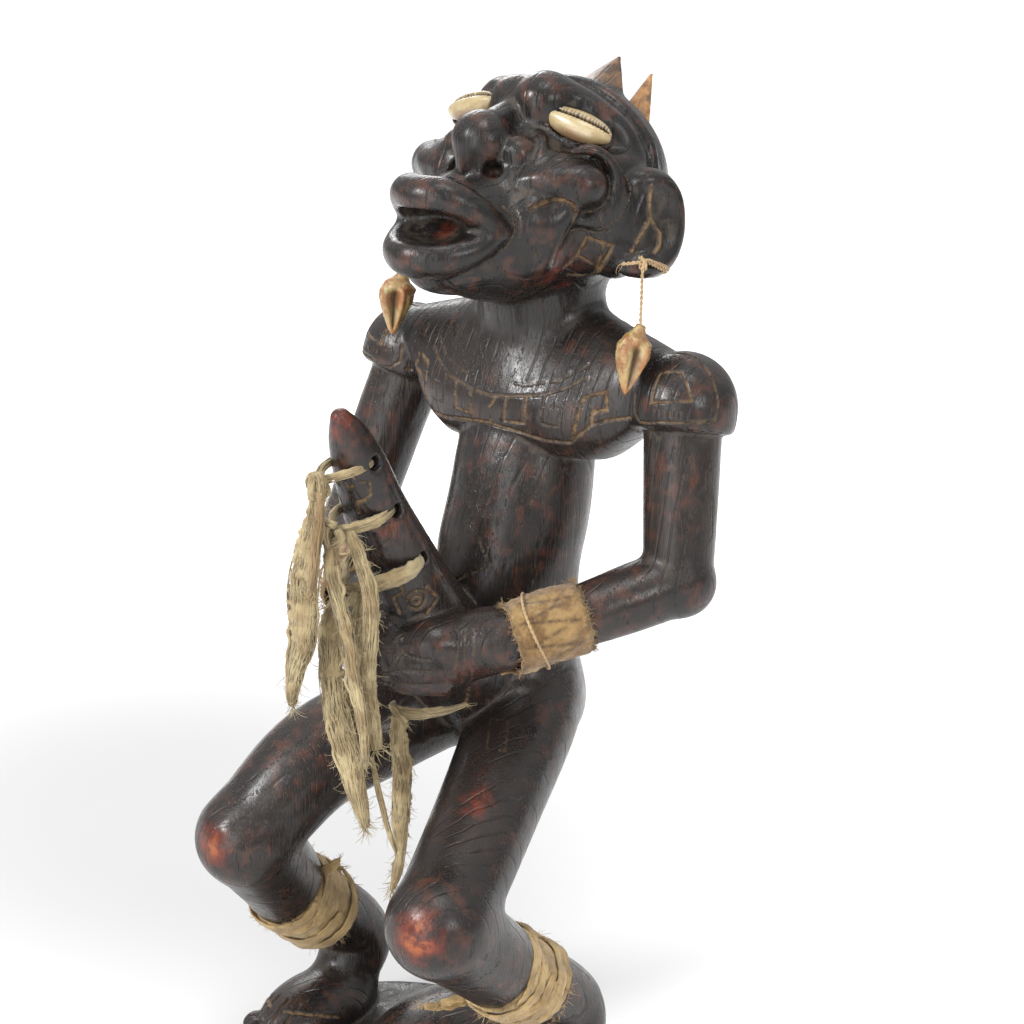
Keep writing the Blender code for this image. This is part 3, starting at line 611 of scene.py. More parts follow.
# ---------------------------------------------------------------- incised lines
# Traditional meanders, as routes near the surface: width and depth in mm, then
# points. A negative depth is a raised line. "m" lines are cut on both sides.
def ornament():
    lines = []

    def line(width, depth, points, mirror=True, closed=False, dust=1.0):
        p = [tuple(q) for q in points]
        if closed:
            p.append(p[0])
        lines.append((width, depth, p, dust))
        if mirror:
            lines.append((width, depth, [(-x, y, z) for x, y, z in p], dust))

    # collar arcs
    line(0.9, 0.4, [(0, -13.6, 256.2), (14.0, -11.8, 256.5), (23.3, -7.8, 258.7),
                    (28.6, -4.0, 261.9), (31.5, -2.5, 264.9)], dust=0.30)
    line(1.0, 0.5, [(0, -15.3, 251.6), (8.8, -14.4, 252.5), (18.7, -12.3, 254.0),
                    (26.1, -8.6, 256.6), (32.4, -3.5, 260.5)], dust=0.45)
    # the chest plate's border and key meanders
    line(1.2, 0.7, [(0.3, -16.6, 242.6), (11.6, -14.8, 241.6), (21.4, -11.8, 240.3),
                    (29.8, -9.2, 240.2), (32.2, -9.0, 242.7), (36.9, -7.3, 247.1),
                    (41.7, -4.3, 249.1), (48.6, -2.7, 250.3)], dust=0.7)
    line(1.0, 0.6, [(3.5, -15.1, 251.7), (0.3, -15.7, 246.6), (1.6, -16.5, 242.7)],
         mirror=False, dust=0.7)
    line(1.2, 0.7, [(7.7, -14.7, 252.2), (7.0, -15.8, 244.4), (14.6, -14.5, 244.9),
                    (14.8, -13.3, 253.4)], dust=0.75)
    line(0.9, 0.4, [(21.0, -11.8, 254.6), (20.3, -12.4, 245.8), (26.4, -10.4, 245.4),
                    (26.8, -9.4, 250.6), (23.6, -11.0, 250.9)], dust=0.25)
    line(1.2, 0.7, [(30.8, -9.5, 241.7), (32.9, -6.8, 255.1), (39.9, -3.5, 257.6),
                    (40.7, -3.9, 252.1), (36.8, -6.7, 251.3), (36.8, -7.5, 247.6)])
    # shoulders: a trapezoid panel over a hatched strip, inside a border line
    line(1.0, 0.6, [(58.5, -4.6, 257.5), (58.2, 0.1, 266.1), (64.9, 2.2, 267.5),
                    (71.1, -0.5, 259.6)], closed=True, dust=0.7)
    line(1.0, 0.55, [(50.4, -3.3, 258.5), (50.9, -3.3, 252.7), (54.2, -3.6, 250.6),
                     (62.9, -4.9, 252.2), (72.9, -1.2, 252.9), (77.5, 5.0, 253.1),
                     (76.8, 6.8, 259.7), (72.4, 8.5, 266.9), (64.2, 10.1, 270.8),
                     (54.7, 9.5, 271.2)], dust=0.55)
    for n in range(6):
        x = 60.0 + 1.9 * n
        line(0.7, 0.35, [(x, -5, 256.0), (x + 0.2, -5.2, 254.2)], dust=0.3)
    line(0.9, 0.4, [(54.5, -4.0, 247.6), (63.0, -4.6, 247.3), (72.6, -0.1, 247.8),
                    (77.8, 8.8, 246.9)], dust=0.35)
    # upper arm: a light stepped border on the outer side
    line(0.8, 0.3, [(80.4, 8.0, 238.0), (80.6, 3.6, 236.4), (80.4, 3.4, 226.0),
                    (81.0, 7.6, 224.6), (81.4, 7.4, 214.0), (81.4, 3.0, 212.6)], dust=0.25)
    # back of the cape, in the same manner
    line(1.1, 0.6, [(0, 34, 258), (14, 33, 257), (27, 30, 254), (38, 27, 254), (46, 26, 257)],
         dust=0.45)
    line(1.1, 0.6, [(0, 34, 243.5), (14, 33, 243), (26, 30, 241), (36, 27, 246)], dust=0.5)
    line(1.0, 0.5, [(8, 34, 257.4), (8, 34, 247), (20, 32, 246.5), (20, 32, 252.5),
                    (13.4, 33, 252.8)], dust=0.5)
    line(1.0, 0.5, [(27, 30, 253.8), (27.4, 30, 243.4)], dust=0.4)
    # side of the head: a tilted square with a smaller one inside it
    line(1.3, 0.8, [(25.5, -10.3, 297.9), (28.2, -7.2, 301.6), (31.3, -6.4, 308.0),
                    (38.1, -1.5, 305.5), (34.5, -1.6, 299.0), (28.5, 1.5, 292.5)], dust=0.85)
    line(1.1, 0.7, [(28.2, -7.2, 301.6), (30.6, -2.6, 299.2)], dust=1.0)
    line(1.1, 0.7, [(36.2, -3.6, 305.9), (33.8, -2.8, 300.4), (29.8, 0.6, 294.6)], dust=0.6)
    line(1.1, 0.7, [(24.6, -6.7, 294.9), (27.0, 0.0, 292.4)], dust=0.7)
    line(0.8, 0.35, [(28.7, -12.1, 310.4), (32.3, -6.3, 310.4), (37.7, -2.8, 310.5)], dust=0.4)
    # folds beside the boss, with its rings
    line(1.5, 1.0, [(24.1, -27.3, 318.7), (25.7, -21.4, 320.5), (28.7, -16.5, 321.4),
                    (32.3, -15.9, 319.8), (32.5, -14.4, 316.4), (30.6, -14.7, 312.1),
                    (29.2, -17.1, 307.7), (25.7, -16.4, 300.1)], dust=0.75)
    line(0.9, 0.5, [(25.0, -15.6, 332.2), (30.4, -9.8, 331.8), (32.6, -1.4, 329.0),
                    (33.2, 0.6, 324.0), (32.0, -1.6, 318.0), (31.0, -7.6, 315.6)], dust=0.3)
    line(0.9, 0.45, [(31.6, 0.0, 331.4), (33.6, 3.6, 327.6), (33.8, 4.6, 321.4),
                     (32.6, 1.6, 315.6), (31.0, -4.5, 312.6), (30.4, -9.2, 312.6)], dust=0.3)
    # mouth corner
    line(0.9, 0.5, [(16.5, -32.8, 319.0), (18.9, -29.9, 315.7), (20.8, -31.4, 311.2),
                    (20.3, -34.4, 306.4)], dust=0.3)
    line(0.8, 0.4, [(18.3, -28.7, 317.8), (21.1, -27.9, 314.8), (22.3, -30.1, 309.6)],
         dust=0.3)
    # ear: raised forked ridge
    line(1.7, -0.9, [(44.0, 10.4, 324.2), (43.4, 10.2, 318.1), (43.6, 10.4, 313.8),
                     (42.8, 7.4, 309.4), (41.8, 4.4, 303.4)], dust=0.9)
    line(1.6, -0.9, [(43.6, 10.4, 313.8), (44.6, 14.6, 308.2), (44.4, 14.0, 304.2),
                     (44.4, 11.6, 301.4)], dust=0.9)
    # hatched band in front of the hair cap
    for n in range(15):
        a = math.radians(12 + n * 5.0)
        x, z = 34.8 * math.sin(a), 318 + 34.8 * math.cos(a)
        line(0.8, 0.5, [(x, 20.8, z), (x * 1.01, 15.8, z + 0.2)], dust=0.3)
    # emblem
    line(1.2, 0.6, [(1.3, -87.3, 236.8), (1.7, -86.8, 235.2), (3.5, -86.2, 236.1)], dust=0.9)
    line(1.2, 0.6, [(5.6, -85.3, 237.7), (7.1, -83.4, 237.2), (7.0, -82.4, 233.0),
                    (5.3, -83.7, 231.1), (3.5, -84.4, 230.5), (3.0, -83.3, 226.6)])
    line(1.2, 0.6, [(5.9, -79.5, 220.8), (9.3, -75.9, 222.5), (9.7, -74.1, 218.7),
                    (7.6, -75.9, 215.1)], dust=0.45)
    line(1.1, 0.5, [(2.0, -79.5, 216.5), (0.8, -76.2, 208.0)], mirror=False, dust=0.3)
    line(1.2, 0.6, [(8.4, -69.7, 201.5), (8.7, -68.0, 197.9), (5.7, -69.2, 195.2),
                    (6.1, -66.4, 189.5)])
    line(1.2, 0.6, [(12.4, -61.7, 198.6), (13.6, -57.0, 194.0), (13.0, -60.9, 189.2)],
         dust=0.8)
    for radius, depth, dust in ((3.6, 0.6, 0.5), (1.3, 0.5, 1.0)):
        line(1.2, depth, [(10.4 + 0.4 * radius * math.cos(a), -63.9 + 0.7 * radius * math.cos(a),
                           194.5 + radius * math.sin(a))
                          for a in np.linspace(0, 6.28, 13)], dust=dust)
    # belly: a lozenge
    line(1.0, 0.4, [(2.6, -24.5, 209.6), (-11.7, -23.5, 196.3), (-2.3, -27.6, 187.5),
                    (10.5, -25.4, 197.5)], mirror=False, closed=True, dust=0.3)
    # hands
    for s in (1, -1):
        hx, hy, hz = HAND[s]
        for dz in (4.2, -1.2, -6.4):
            line(1.5, 0.45, [(s * 17, hy - 8.5, hz + dz), (s * 9, hy - 12.0, hz + dz - 0.5),
                             (s * -2.0, hy - 13.0, hz + dz - 1.0)], mirror=False, dust=0.12)
        for d in (0.0, 1.8, 4.0):
            line(0.8, 0.35, [(s * (22.5 + d), hy - 2.5 + d, hz + 11),
                             (s * (24.5 + d), hy - 5 + d, hz + 2),
                             (s * (23.0 + d), hy - 3.5 + d, hz - 8)], mirror=False, dust=0.3)
        line(0.8, 0.35, [(s * 3.0, hy - 13, hz + 3), (s * 9.0, hy - 12.5, hz + 9.5)],
             mirror=False, dust=0.3)
        line(0.8, 0.35, [(s * 4.5, hy - 13, hz - 1.5), (s * 10.5, hy - 12.5, hz + 5.5)],
             mirror=False, dust=0.3)
    # toes and the arcs on the feet
    for s in (1, -1):
        ax, ay, _ = ANKLE[s]
        for dx in (-6.2, -0.7, 4.5, 9.4):
            line(1.4, 0.9, [(ax - s + s * dx, ay - 37.0, 24), (ax - s + s * dx, ay - 44, 20),
                            (ax - s + s * dx, ay - 50.5, 13)], mirror=False, dust=0.2)
        line(1.4, 0.7, [(ax + s * 3, ay - 42, 21.0), (ax + s * 8, ay - 39, 20.5),
                        (ax + s * 12.5, ay - 32, 18.0), (ax + s * 14.0, ay - 22, 17.0),
                        (ax + s * 12.0, ay - 12, 18.5)], mirror=False, dust=1.0)
        line(1.2, 0.6, [(ax - s * 4, ay - 42, 21.0), (ax - s * 10, ay - 36, 19.0),
                        (ax - s * 14, ay - 26, 16.0)], mirror=False, dust=0.8)
    # thighs: a small rectangle, and a worn stripe beside the groin
    line(0.9, 0.35, [(19.8, -36.0, 147.1), (26.1, -45.5, 141.1), (32.2, -42.7, 140.9),
                     (25.8, -33.4, 147.4)], closed=True, dust=0.25)
    line(1.6, 0.4, [(14.2, -40.9, 158.4), (10.8, -38.5, 147.7)], dust=0.7)
    return lines


def snap(tree, points, step=0.5):
    """The route laid on the surface."""
    out = []
    for p in even(points, step)[:, :3]:
        hit = tree.find_nearest(Vector(p) * MM)
        if hit[0] is not None:
            out.append(np.array(hit[0]) / MM)
    return np.array(out)


def incise(obj):
    """Cuts the ornament's lines into the mesh, which is made finer beside them."""
    mesh = obj.data
    tree = BVHTree.FromObject(obj, bpy.context.evaluated_depsgraph_get())
    routes = []
    for width, depth, points, dust in ornament():
        laid = snap(tree, points)
        if len(laid) > 1:
            routes.append((width, depth, laid, dust))
    count = sum(len(r[2]) for r in routes)
    near = KDTree(count)
    info, n = [], 0
    for width, depth, laid, dust in routes:
        for p in laid:
            near.insert(p, n)
            info.append((width, depth, dust))
            n += 1
    near.balance()
    info = np.array(info)

    def distances(points, reach):
        found = np.full(len(points), 99.0)
        which = np.zeros(len(points), int)
        cell = 3.0
        keys = set()
        for r in routes:
            for p in r[2]:
                base = np.floor(p / cell).astype(int)
                keys.add(tuple(base))
        near_keys = set()
        for k in keys:
            for i in (-1, 0, 1):
                for j in (-1, 0, 1):
                    for m in (-1, 0, 1):
                        near_keys.add((k[0] + i, k[1] + j, k[2] + m))
        code = np.floor(points / cell).astype(np.int64)
        flat = (code[:, 0] + 500) * 1000000 + (code[:, 1] + 500) * 1000 + code[:, 2] + 500
        wanted = np.array([(k[0] + 500) * 1000000 + (k[1] + 500) * 1000 + k[2] + 500
                           for k in near_keys])
        for i in np.flatnonzero(np.isin(flat, wanted)):
            _, j, d = near.find(points[i])
            if d < reach:
                found[i], which[i] = d, j
        return found, which

    bm = bmesh.new()
    bm.from_mesh(mesh)
    for limit, around in ((
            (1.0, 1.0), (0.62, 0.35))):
        bm.verts.ensure_lookup_table()
        points = np.array([v.co for v in bm.verts]) / MM
        d, which = distances(points, 2.6)
        close = d < info[which, 0] * 0.5 + around
        edges = [e for e in bm.edges
                 if (close[e.verts[0].index] or close[e.verts[1].index])
                 and e.calc_length() > limit * MM]
        bmesh.ops.subdivide_edges(bm, edges=edges, cuts=1, use_grid_fill=False)
        bmesh.ops.triangulate(bm, faces=[f for f in bm.faces if len(f.verts) > 3])
        bm.verts.index_update()
    bm.to_mesh(mesh)
    bm.free()
    points, normal = points_of(mesh), normals_of(mesh)
    d, which = distances(points, 2.6)
    width, depth, dust = info[which, 0], info[which, 1], info[which, 2]
    t = np.clip(1.0 - d / (width * 0.62), 0.0, 1.0)
    shape = t * t * (3 - 2 * t)
    lip = np.exp(-((d - width * 0.75) / 0.35) ** 2) * 0.08 * (depth > 0)
    moved = points - normal * (depth * shape - lip)[:, None]
    mesh.vertices.foreach_set("co", (moved * MM).astype(np.float32).ravel())
    mesh.update()
    band = np.clip(1.0 - d / (width * 0.60), 0.0, 1.0)
    set_attribute(mesh, "groove", np.minimum(1.0, band * 1.7) * dust)
    # a mask for the painted shade along the cut lines
    set_attribute(mesh, "cutline", np.minimum(1.0, band * 1.5))


def cavity_of(mesh):
    """How hollow (positive) or edge-like (negative) each point is."""
    p, n = points_of(mesh), normals_of(mesh)
    edges = np.empty(len(mesh.edges) * 2, np.int32)
    mesh.edges.foreach_get("vertices", edges)
    a, b = edges[::2], edges[1::2]
    count = np.bincount(a, minlength=len(p)) + np.bincount(b, minlength=len(p))
    value = p.copy()
    for _ in range(9):
        total = np.zeros_like(p)
        for i in range(3):
            total[:, i] = (np.bincount(a, value[b, i], len(p))
                           + np.bincount(b, value[a, i], len(p)))
        value = 0.5 * value + 0.5 * total / np.maximum(count, 1)[:, None]
    return ((value - p) * n).sum(1)


WEAR = [  # where handling has worn the dark surface to red: place, radius, strength
    ((49.0, -104.4, 102.5), 9.0, 1.0), ((-45.7, -100.9, 102.5), 8.0, 0.85),
    ((36.7, -63.1, 130.4), 8.0, 0.55), ((33.0, -56.0, 137.0), 6.0, 0.4),
    ((0.0, -88.5, 256.0), 5.5, 1.0), ((8.9, -76.1, 220.0), 5.0, 0.7),
    ((3.0, -42.0, 309.5), 6.5, 0.6), ((23.0, -14.0, 296.5), 5.0, 0.75),
    ((20.5, -4.0, 292.0), 4.5, 0.6), ((35.0, -14.0, 326.0), 6.0, 0.34), ((27.8, -16.0, 303.0), 6.0, 0.45), ((5.0, -23.0, 327.0), 3.5, 0.35),
    ((-5.0, -23.0, 327.0), 3.5, 0.3), ((0.0, -30.5, 324.5), 3.2, 0.8),
    ((26.0, -6.0, 301.5), 9.0, 0.45), ((-26.0, -6.0, 301.5), 9.0, 0.35),
    ((23.0, -24.0, 312.0), 6.0, 0.3), ((24.5, -58.0, 172.0), 10.0, 0.4),
    ((-24.5, -58.0, 172.0), 8.0, 0.35), ((-8.0, -24.0, 214.0), 9.0, 0.3),
    ((12.0, -24.0, 205.0), 12.0, 0.22), ((64.0, -8.0, 196.0), 8.0, 0.3),
    ((27.0, -16.0, 322.0), 7.0, 0.3), ((68.0, 0.0, 262.0), 6.0, 0.3),
    ((22.0, -16.0, 241.0), 5.0, 0.3), ((14.0, 30.0, 130.0), 12.0, 0.5),
    ((-14.0, 30.0, 130.0), 12.0, 0.45), ((0.0, 40.0, 250.0), 12.0, 0.3),
]


def wear_of(points):
    out = np.zeros(len(points))
    for place, radius, strength in WEAR:
        d = np.linalg.norm(points - np.array(place), axis=1) / radius
        out = np.maximum(out, strength * np.exp(-d * d * 1.1))
    return out


def build_figure(material):
    field = carve(0.72)
    verts, quads = surface_nets(field)
    del field
    obj = link("hardwood_figure", fill_mesh("hardwood_figure", verts, quads), material)
    smooth = obj.modifiers.new("soften", "SMOOTH")
    smooth.factor, smooth.iterations = 0.4, 1
    wanted = 106000
    thin = obj.modifiers.new("thin", "DECIMATE")
    thin.decimate_type = "COLLAPSE"
    thin.ratio = min(1.0, wanted / (2 * len(quads)))
    thin.use_collapse_triangulate = True
    applied(obj)
    incise(obj)
    mesh = obj.data
    points = points_of(mesh)
    set_attribute(mesh, "cavity", np.clip(cavity_of(mesh) * 4.0, -1, 1))
    set_attribute(mesh, "wear", wear_of(points))
    spike = np.clip((points[:, 2] - 341 + (points[:, 1] - 45) * 1.1) / 4.0, 0, 1)
    spike *= (points[:, 1] > 30) & (np.abs(points[:, 0]) < 9.5)
    second = spike * (points[:, 1] > 53)
    set_attribute(mesh, "bare", np.maximum(spike * 0.35, second))
    mesh.shade_smooth()
    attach(obj, "root")
    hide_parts("carved_figure")
    print("figure triangles", len(mesh.polygons))
    return obj


# ---------------------------------------------------------------- materials
class Nodes:
    """Short ways to write a shader's nodes."""

    def __init__(self, name):
        self.material = bpy.data.materials.new(name)
        self.material.use_nodes = True
        self.tree = self.material.node_tree
        self.shader = self.tree.nodes["Principled BSDF"]

    def node(self, kind, links=(), **settings):
        made = self.tree.nodes.new(kind)
        for key, value in settings.items():
            setattr(made, key, value)
        for socket, value in dict(links).items():
            self.put(made.inputs[socket], value)
        return made

    def put(self, socket, value):
        if isinstance(value, bpy.types.NodeSocket):
            self.tree.links.new(value, socket)
        elif hasattr(value, "__len__") and socket.type == "RGBA" and len(value) == 3:
            socket.default_value = (*value, 1.0)
        else:
            socket.default_value = value

    def math(self, operation, a, b=0.0, clamp=False):
        made = self.node("ShaderNodeMath", operation=operation, use_clamp=clamp)
        self.put(made.inputs[0], a)
        self.put(made.inputs[1], b)
        return made.outputs[0]

    def vector(self, operation, a, b=None, scale=None):
        made = self.node("ShaderNodeVectorMath", operation=operation)
        self.put(made.inputs[0], a)
        if b is not None:
            self.put(made.inputs[1], b)
        if scale is not None:
            self.put(made.inputs["Scale"], scale)
        return made.outputs["Value" if operation in ("LENGTH", "DOT_PRODUCT") else "Vector"]

    def place(self, scale=(1, 1, 1), turn=(0, 0, 0), shift=(0, 0, 0)):
        """Object coordinates in millimetres, turned, then scaled."""
        if not hasattr(self, "coords"):
            co = self.node("ShaderNodeTexCoord").outputs["Object"]
            self.coords = self.vector("SCALE", co, scale=1000.0)
        made = self.node("ShaderNodeMapping", vector_type="POINT")
        self.put(made.inputs["Vector"], self.coords)
        made.inputs["Location"].default_value = shift
        made.inputs["Rotation"].default_value = turn
        made.inputs["Scale"].default_value = scale
        return made.outputs[0]

    def noise(self, where, size, detail=2.0, rough=0.5, distortion=0.0):
        """A noise whose features are about `size` units across, from 0 to 1."""
        made = self.node("ShaderNodeTexNoise", noise_dimensions="3D")
        self.put(made.inputs["Vector"], where)
        made.inputs["Scale"].default_value = 1.0 / size
        made.inputs["Detail"].default_value = detail
        made.inputs["Roughness"].default_value = rough
        made.inputs["Distortion"].default_value = distortion
        return made.outputs["Fac"]

    def step(self, value, low, high, out_low=0.0, out_high=1.0):
        made = self.node("ShaderNodeMapRange", interpolation_type="SMOOTHSTEP", clamp=True)
        for socket, v in zip(made.inputs, (value, low, high, out_low, out_high)):
            self.put(socket, v)
        return made.outputs["Result"]

    def mix(self, part, a, b, blend="MIX"):
        made = self.node("ShaderNodeMix", data_type="RGBA", blend_type=blend,
                         clamp_factor=True)
        for socket, value in ((0, part), (6, a), (7, b)):
            self.put(made.inputs[socket], value)
        return made.outputs[2]

    def attribute(self, name):
        return self.node("ShaderNodeAttribute", attribute_name=name).outputs["Fac"]

    def bump(self, height, distance, strength=1.0, normal=None):
        made = self.node("ShaderNodeBump")
        made.inputs["Strength"].default_value = strength
        made.inputs["Distance"].default_value = distance * MM
        self.put(made.inputs["Height"], height)
        if normal is not None:
            self.put(made.inputs["Normal"], normal)
        return made.outputs[0]

    def done(self, colour, roughness, normal=None, **constants):
        self.put(self.shader.inputs["Base Color"], colour)
        self.put(self.shader.inputs["Roughness"], roughness)
        if normal is not None:
            self.put(self.shader.inputs["Normal"], normal)
        for key, value in constants.items():
            self.put(self.shader.inputs[key.replace("_", " ")], value)
        return self.material


def wood_material():
    n = Nodes("dark_hardwood")
    # the grain runs up the block and leans a little to the figure's left
    turn = (math.radians(6), math.radians(-17), 0)
    plain = n.place()
    # growth rings: the distance from a pith behind the right shoulder
    warp = n.noise(n.place(scale=(1, 1, 0.22), turn=turn), 46.0, 1.5, 0.5)
    fine = n.noise(n.place(scale=(1, 1, 0.12), turn=turn), 9.0, 2.0, 0.55)
    flat = n.place(scale=(1, 1, 0.04), turn=turn, shift=(200, -20, 0))
    ring = n.vector("LENGTH", flat)
    ring = n.math("ADD", ring, n.math("MULTIPLY", warp, 15.0))
    ring = n.math("ADD", ring, n.math("MULTIPLY", fine, 2.6))
    wave = n.math("PINGPONG", n.math("MULTIPLY", ring, 0.50), 1.0)
    late = n.step(wave, 0.72, 0.97)
    # open pores: long dashes that gather in the rings
    pores = n.noise(n.place(scale=(1, 1, 0.075), turn=turn), 0.62, 1.0, 0.4)
    pores = n.step(pores, 0.54, 0.65)
    gather = n.math("ADD", n.math("MULTIPLY", late, 0.75), 0.16)
    pores = n.math("MULTIPLY", pores, gather)
    thread = n.noise(n.place(scale=(1, 1, 0.03), turn=turn), 0.95, 2.0, 0.6)
    thread = n.step(thread, 0.58, 0.70)
    line = n.math("MULTIPLY", late, n.step(n.noise(plain, 11.0, 1.0), 0.42, 0.60))
    marks = n.math("MAXIMUM", n.math("MULTIPLY", line, 0.55), pores)
    marks = n.math("MAXIMUM", marks, n.math("MULTIPLY", thread, 0.22))
    # colour: near black, with red-brown clouds
    cloud = n.noise(n.place(scale=(1, 1, 0.5), turn=turn), 21.0, 3.0, 0.55)
    colour = n.mix(n.step(cloud, 0.36, 0.68), (0.0125, 0.0100, 0.0092),
                   (0.0200, 0.0148, 0.0126))
    colour = n.mix(n.step(n.noise(plain, 9.0, 3.0, 0.6), 0.55, 0.80, 0.0, 0.5), colour,
                   (0.030, 0.0140, 0.0098))
    # the head is blacker than the body: the colour darkens with height, from 262 to 300 mm
    split = n.node("ShaderNodeSeparateXYZ")
    n.put(split.inputs[0], n.coords)
    darker_above_neck = n.step(split.outputs[2], 262.0, 300.0, 0.0, 0.72)
    colour = n.mix(darker_above_neck, colour, (0.0050, 0.0047, 0.0045))
    colour = n.mix(n.math("MULTIPLY", marks, 0.75), colour, (0.0045, 0.0032, 0.0030))
    # pale dust that stays in some of the pores and hollows
    cavity = n.attribute("cavity")
    hollow = n.step(cavity, 0.05, 0.7)
    dusty = n.math("MULTIPLY", hollow, n.step(n.noise(plain, 4.0, 3.0), 0.38, 0.66))
    colour = n.mix(n.math("MULTIPLY", dusty, 0.38), colour, (0.085, 0.062, 0.042))
    dust = n.math("MULTIPLY", pores, n.step(n.noise(plain, 17.0, 2.0), 0.55, 0.72))
    colour = n.mix(n.math("MULTIPLY", dust, 0.34), colour, (0.10, 0.078, 0.055))
    # worn places, red at the rim and orange in the middle
    wear = n.attribute("wear")
    worn = n.math("MULTIPLY", wear, n.step(n.noise(plain, 4.6, 3.0, 0.6), 0.26, 0.66,
                                           0.35, 1.25))
    colour = n.mix(n.step(worn, 0.16, 0.72, 0.0, 0.8), colour, (0.115, 0.020, 0.0095))
    colour = n.mix(n.step(worn, 0.62, 1.05, 0.0, 0.85), colour, (0.27, 0.075, 0.018))
    edge = n.step(n.math("MULTIPLY", cavity, -1.0), 0.22, 0.8)
    edge = n.math("MULTIPLY", edge, n.step(n.noise(plain, 5.0, 3.0), 0.46, 0.7))
    colour = n.mix(n.math("MULTIPLY", edge, 0.38), colour, (0.10, 0.034, 0.018))
    # painted shade darkens the incised lines, and ochre dust lies in them
    groove = n.attribute("groove")
    broken = n.step(n.noise(plain, 2.6, 3.0, 0.65), 0.34, 0.60, 0.12, 1.0)
    cut = n.attribute("cutline")
    colour = n.mix(n.math("MULTIPLY", cut, 0.75), colour, (0.0065, 0.0045, 0.0040))
    colour = n.mix(n.math("MULTIPLY", n.math("MULTIPLY", groove, broken), 0.80), colour,
                   (0.205, 0.122, 0.052))
    # bare spikes at the crown
    bare = n.attribute("bare")
    streak = n.noise(n.place(scale=(1, 1, 0.16), turn=turn), 1.1, 2.0, 0.6)
    tan = n.mix(streak, (0.19, 0.085, 0.032), (0.46, 0.25, 0.105))
    patch = n.step(n.noise(plain, 5.2, 2.0), 0.36, 0.60, 0.35, 1.0)
    colour = n.mix(n.math("MULTIPLY", bare, patch), colour, tan)
    # handled polish
    rough = n.step(n.noise(plain, 13.0, 4.0, 0.6), 0.3, 0.7, 0.20, 0.36)
    rough = n.math("ADD", rough, n.math("MULTIPLY", marks, 0.22))
    rough = n.math("ADD", rough, n.math("MULTIPLY", dusty, 0.25))
    rough = n.math("ADD", rough, n.math("MULTIPLY", groove, 0.3), clamp=True)
    rough = n.math("ADD", rough, n.math("MULTIPLY", bare, 0.25), clamp=True)
    height = n.math("MULTIPLY", marks, -1.0)
    normal = n.bump(height, 0.32, 0.9)
    tool = n.noise(n.place(scale=(1, 1, 0.55), turn=turn), 5.5, 1.5, 0.5)
    normal = n.bump(tool, 0.38, 0.55, normal)
    return n.done(colour, rough, normal, Coat_Weight=0.06, Coat_Roughness=0.20,
                  Specular_IOR_Level=0.31)


def cowrie_material():
    n = Nodes("cowrie_shell")
    plain = n.place()
    cloud = n.noise(plain, 5.0, 3.0, 0.6)
    colour = n.mix(n.step(cloud, 0.35, 0.7), (0.36, 0.29, 0.165), (0.28, 0.205, 0.098))
    colour = n.mix(n.step(n.noise(plain, 1.1, 3.0, 0.6), 0.56, 0.75, 0.0, 0.5), colour,
                   (0.25, 0.155, 0.070))
    # painted shade on the shell's back and lower margin
    colour = n.mix(n.attribute("stain"), colour, (0.12, 0.052, 0.026))
    # painted shade in the slit and between the teeth
    colour = n.mix(n.attribute("slit"), colour, (0.030, 0.017, 0.011))
    normal = n.bump(n.noise(plain, 0.7, 2.0, 0.5), 0.05, 0.4)
    return n.done(colour, n.step(cloud, 0.3, 0.7, 0.22, 0.40), normal,
                  Coat_Weight=0.12, Coat_Roughness=0.2, Subsurface_Weight=0.08,
                  Subsurface_Scale=0.0012)


def shell_material():
    n = Nodes("ear_shell")
    plain = n.place()
    cloud = n.noise(plain, 5.5, 3.0, 0.6)
    colour = n.mix(n.step(cloud, 0.38, 0.62), (0.30, 0.205, 0.080), (0.19, 0.075, 0.022))
    colour = n.mix(n.step(n.noise(n.place(scale=(1, 1, 0.4)), 2.2, 3.0, 0.6), 0.46, 0.68),
                   colour, (0.36, 0.295, 0.14))
    colour = n.mix(n.attribute("stain"), colour, (0.33, 0.125, 0.038))
    # painted shade in the aperture
    colour = n.mix(n.attribute("slit"), colour, (0.040, 0.018, 0.009))
    normal = n.bump(n.noise(plain, 0.8, 3.0, 0.6), 0.12, 0.6)
    return n.done(colour, n.step(cloud, 0.3, 0.7, 0.30, 0.50), normal,
                  Coat_Weight=0.10, Coat_Roughness=0.3, Subsurface_Weight=0.06,
                  Subsurface_Scale=0.0012)


def fibre_material(name, pale, mid, dark, dark_share=0.5):
    """Matted plant fibre. The `fibre` attribute runs across its threads."""
    n = Nodes(name)
    plain = n.place()
    across = n.attribute("fibre")
    along = n.attribute("along")
    both_ways = n.node("ShaderNodeCombineXYZ")
    n.put(both_ways.inputs[0], across)
    n.put(both_ways.inputs[1], n.math("MULTIPLY", along, 0.05))
    thread = n.noise(both_ways.outputs[0], 0.42, 3.0, 0.65)
    cloud = n.noise(plain, 8.0, 3.0, 0.6)
    spot = n.noise(plain, 1.9, 3.0, 0.65)
    colour = n.mix(n.step(cloud, 0.36, 0.66), pale, mid)
    colour = n.mix(n.step(thread, 0.50, 0.70, 0.0, dark_share), colour, dark)
    colour = n.mix(n.step(spot, 0.58, 0.78, 0.0, 0.6), colour, dark)
    colour = n.mix(n.attribute("stain"), colour, dark)
    normal = n.bump(thread, 0.30, 0.9)
    normal = n.bump(n.noise(plain, 0.55, 3.0, 0.7), 0.18, 0.7, normal)
    return n.done(colour, n.step(spot, 0.3, 0.7, 0.72, 0.92), normal,
                  Sheen_Weight=0.22, Sheen_Roughness=0.5, Specular_IOR_Level=0.25)


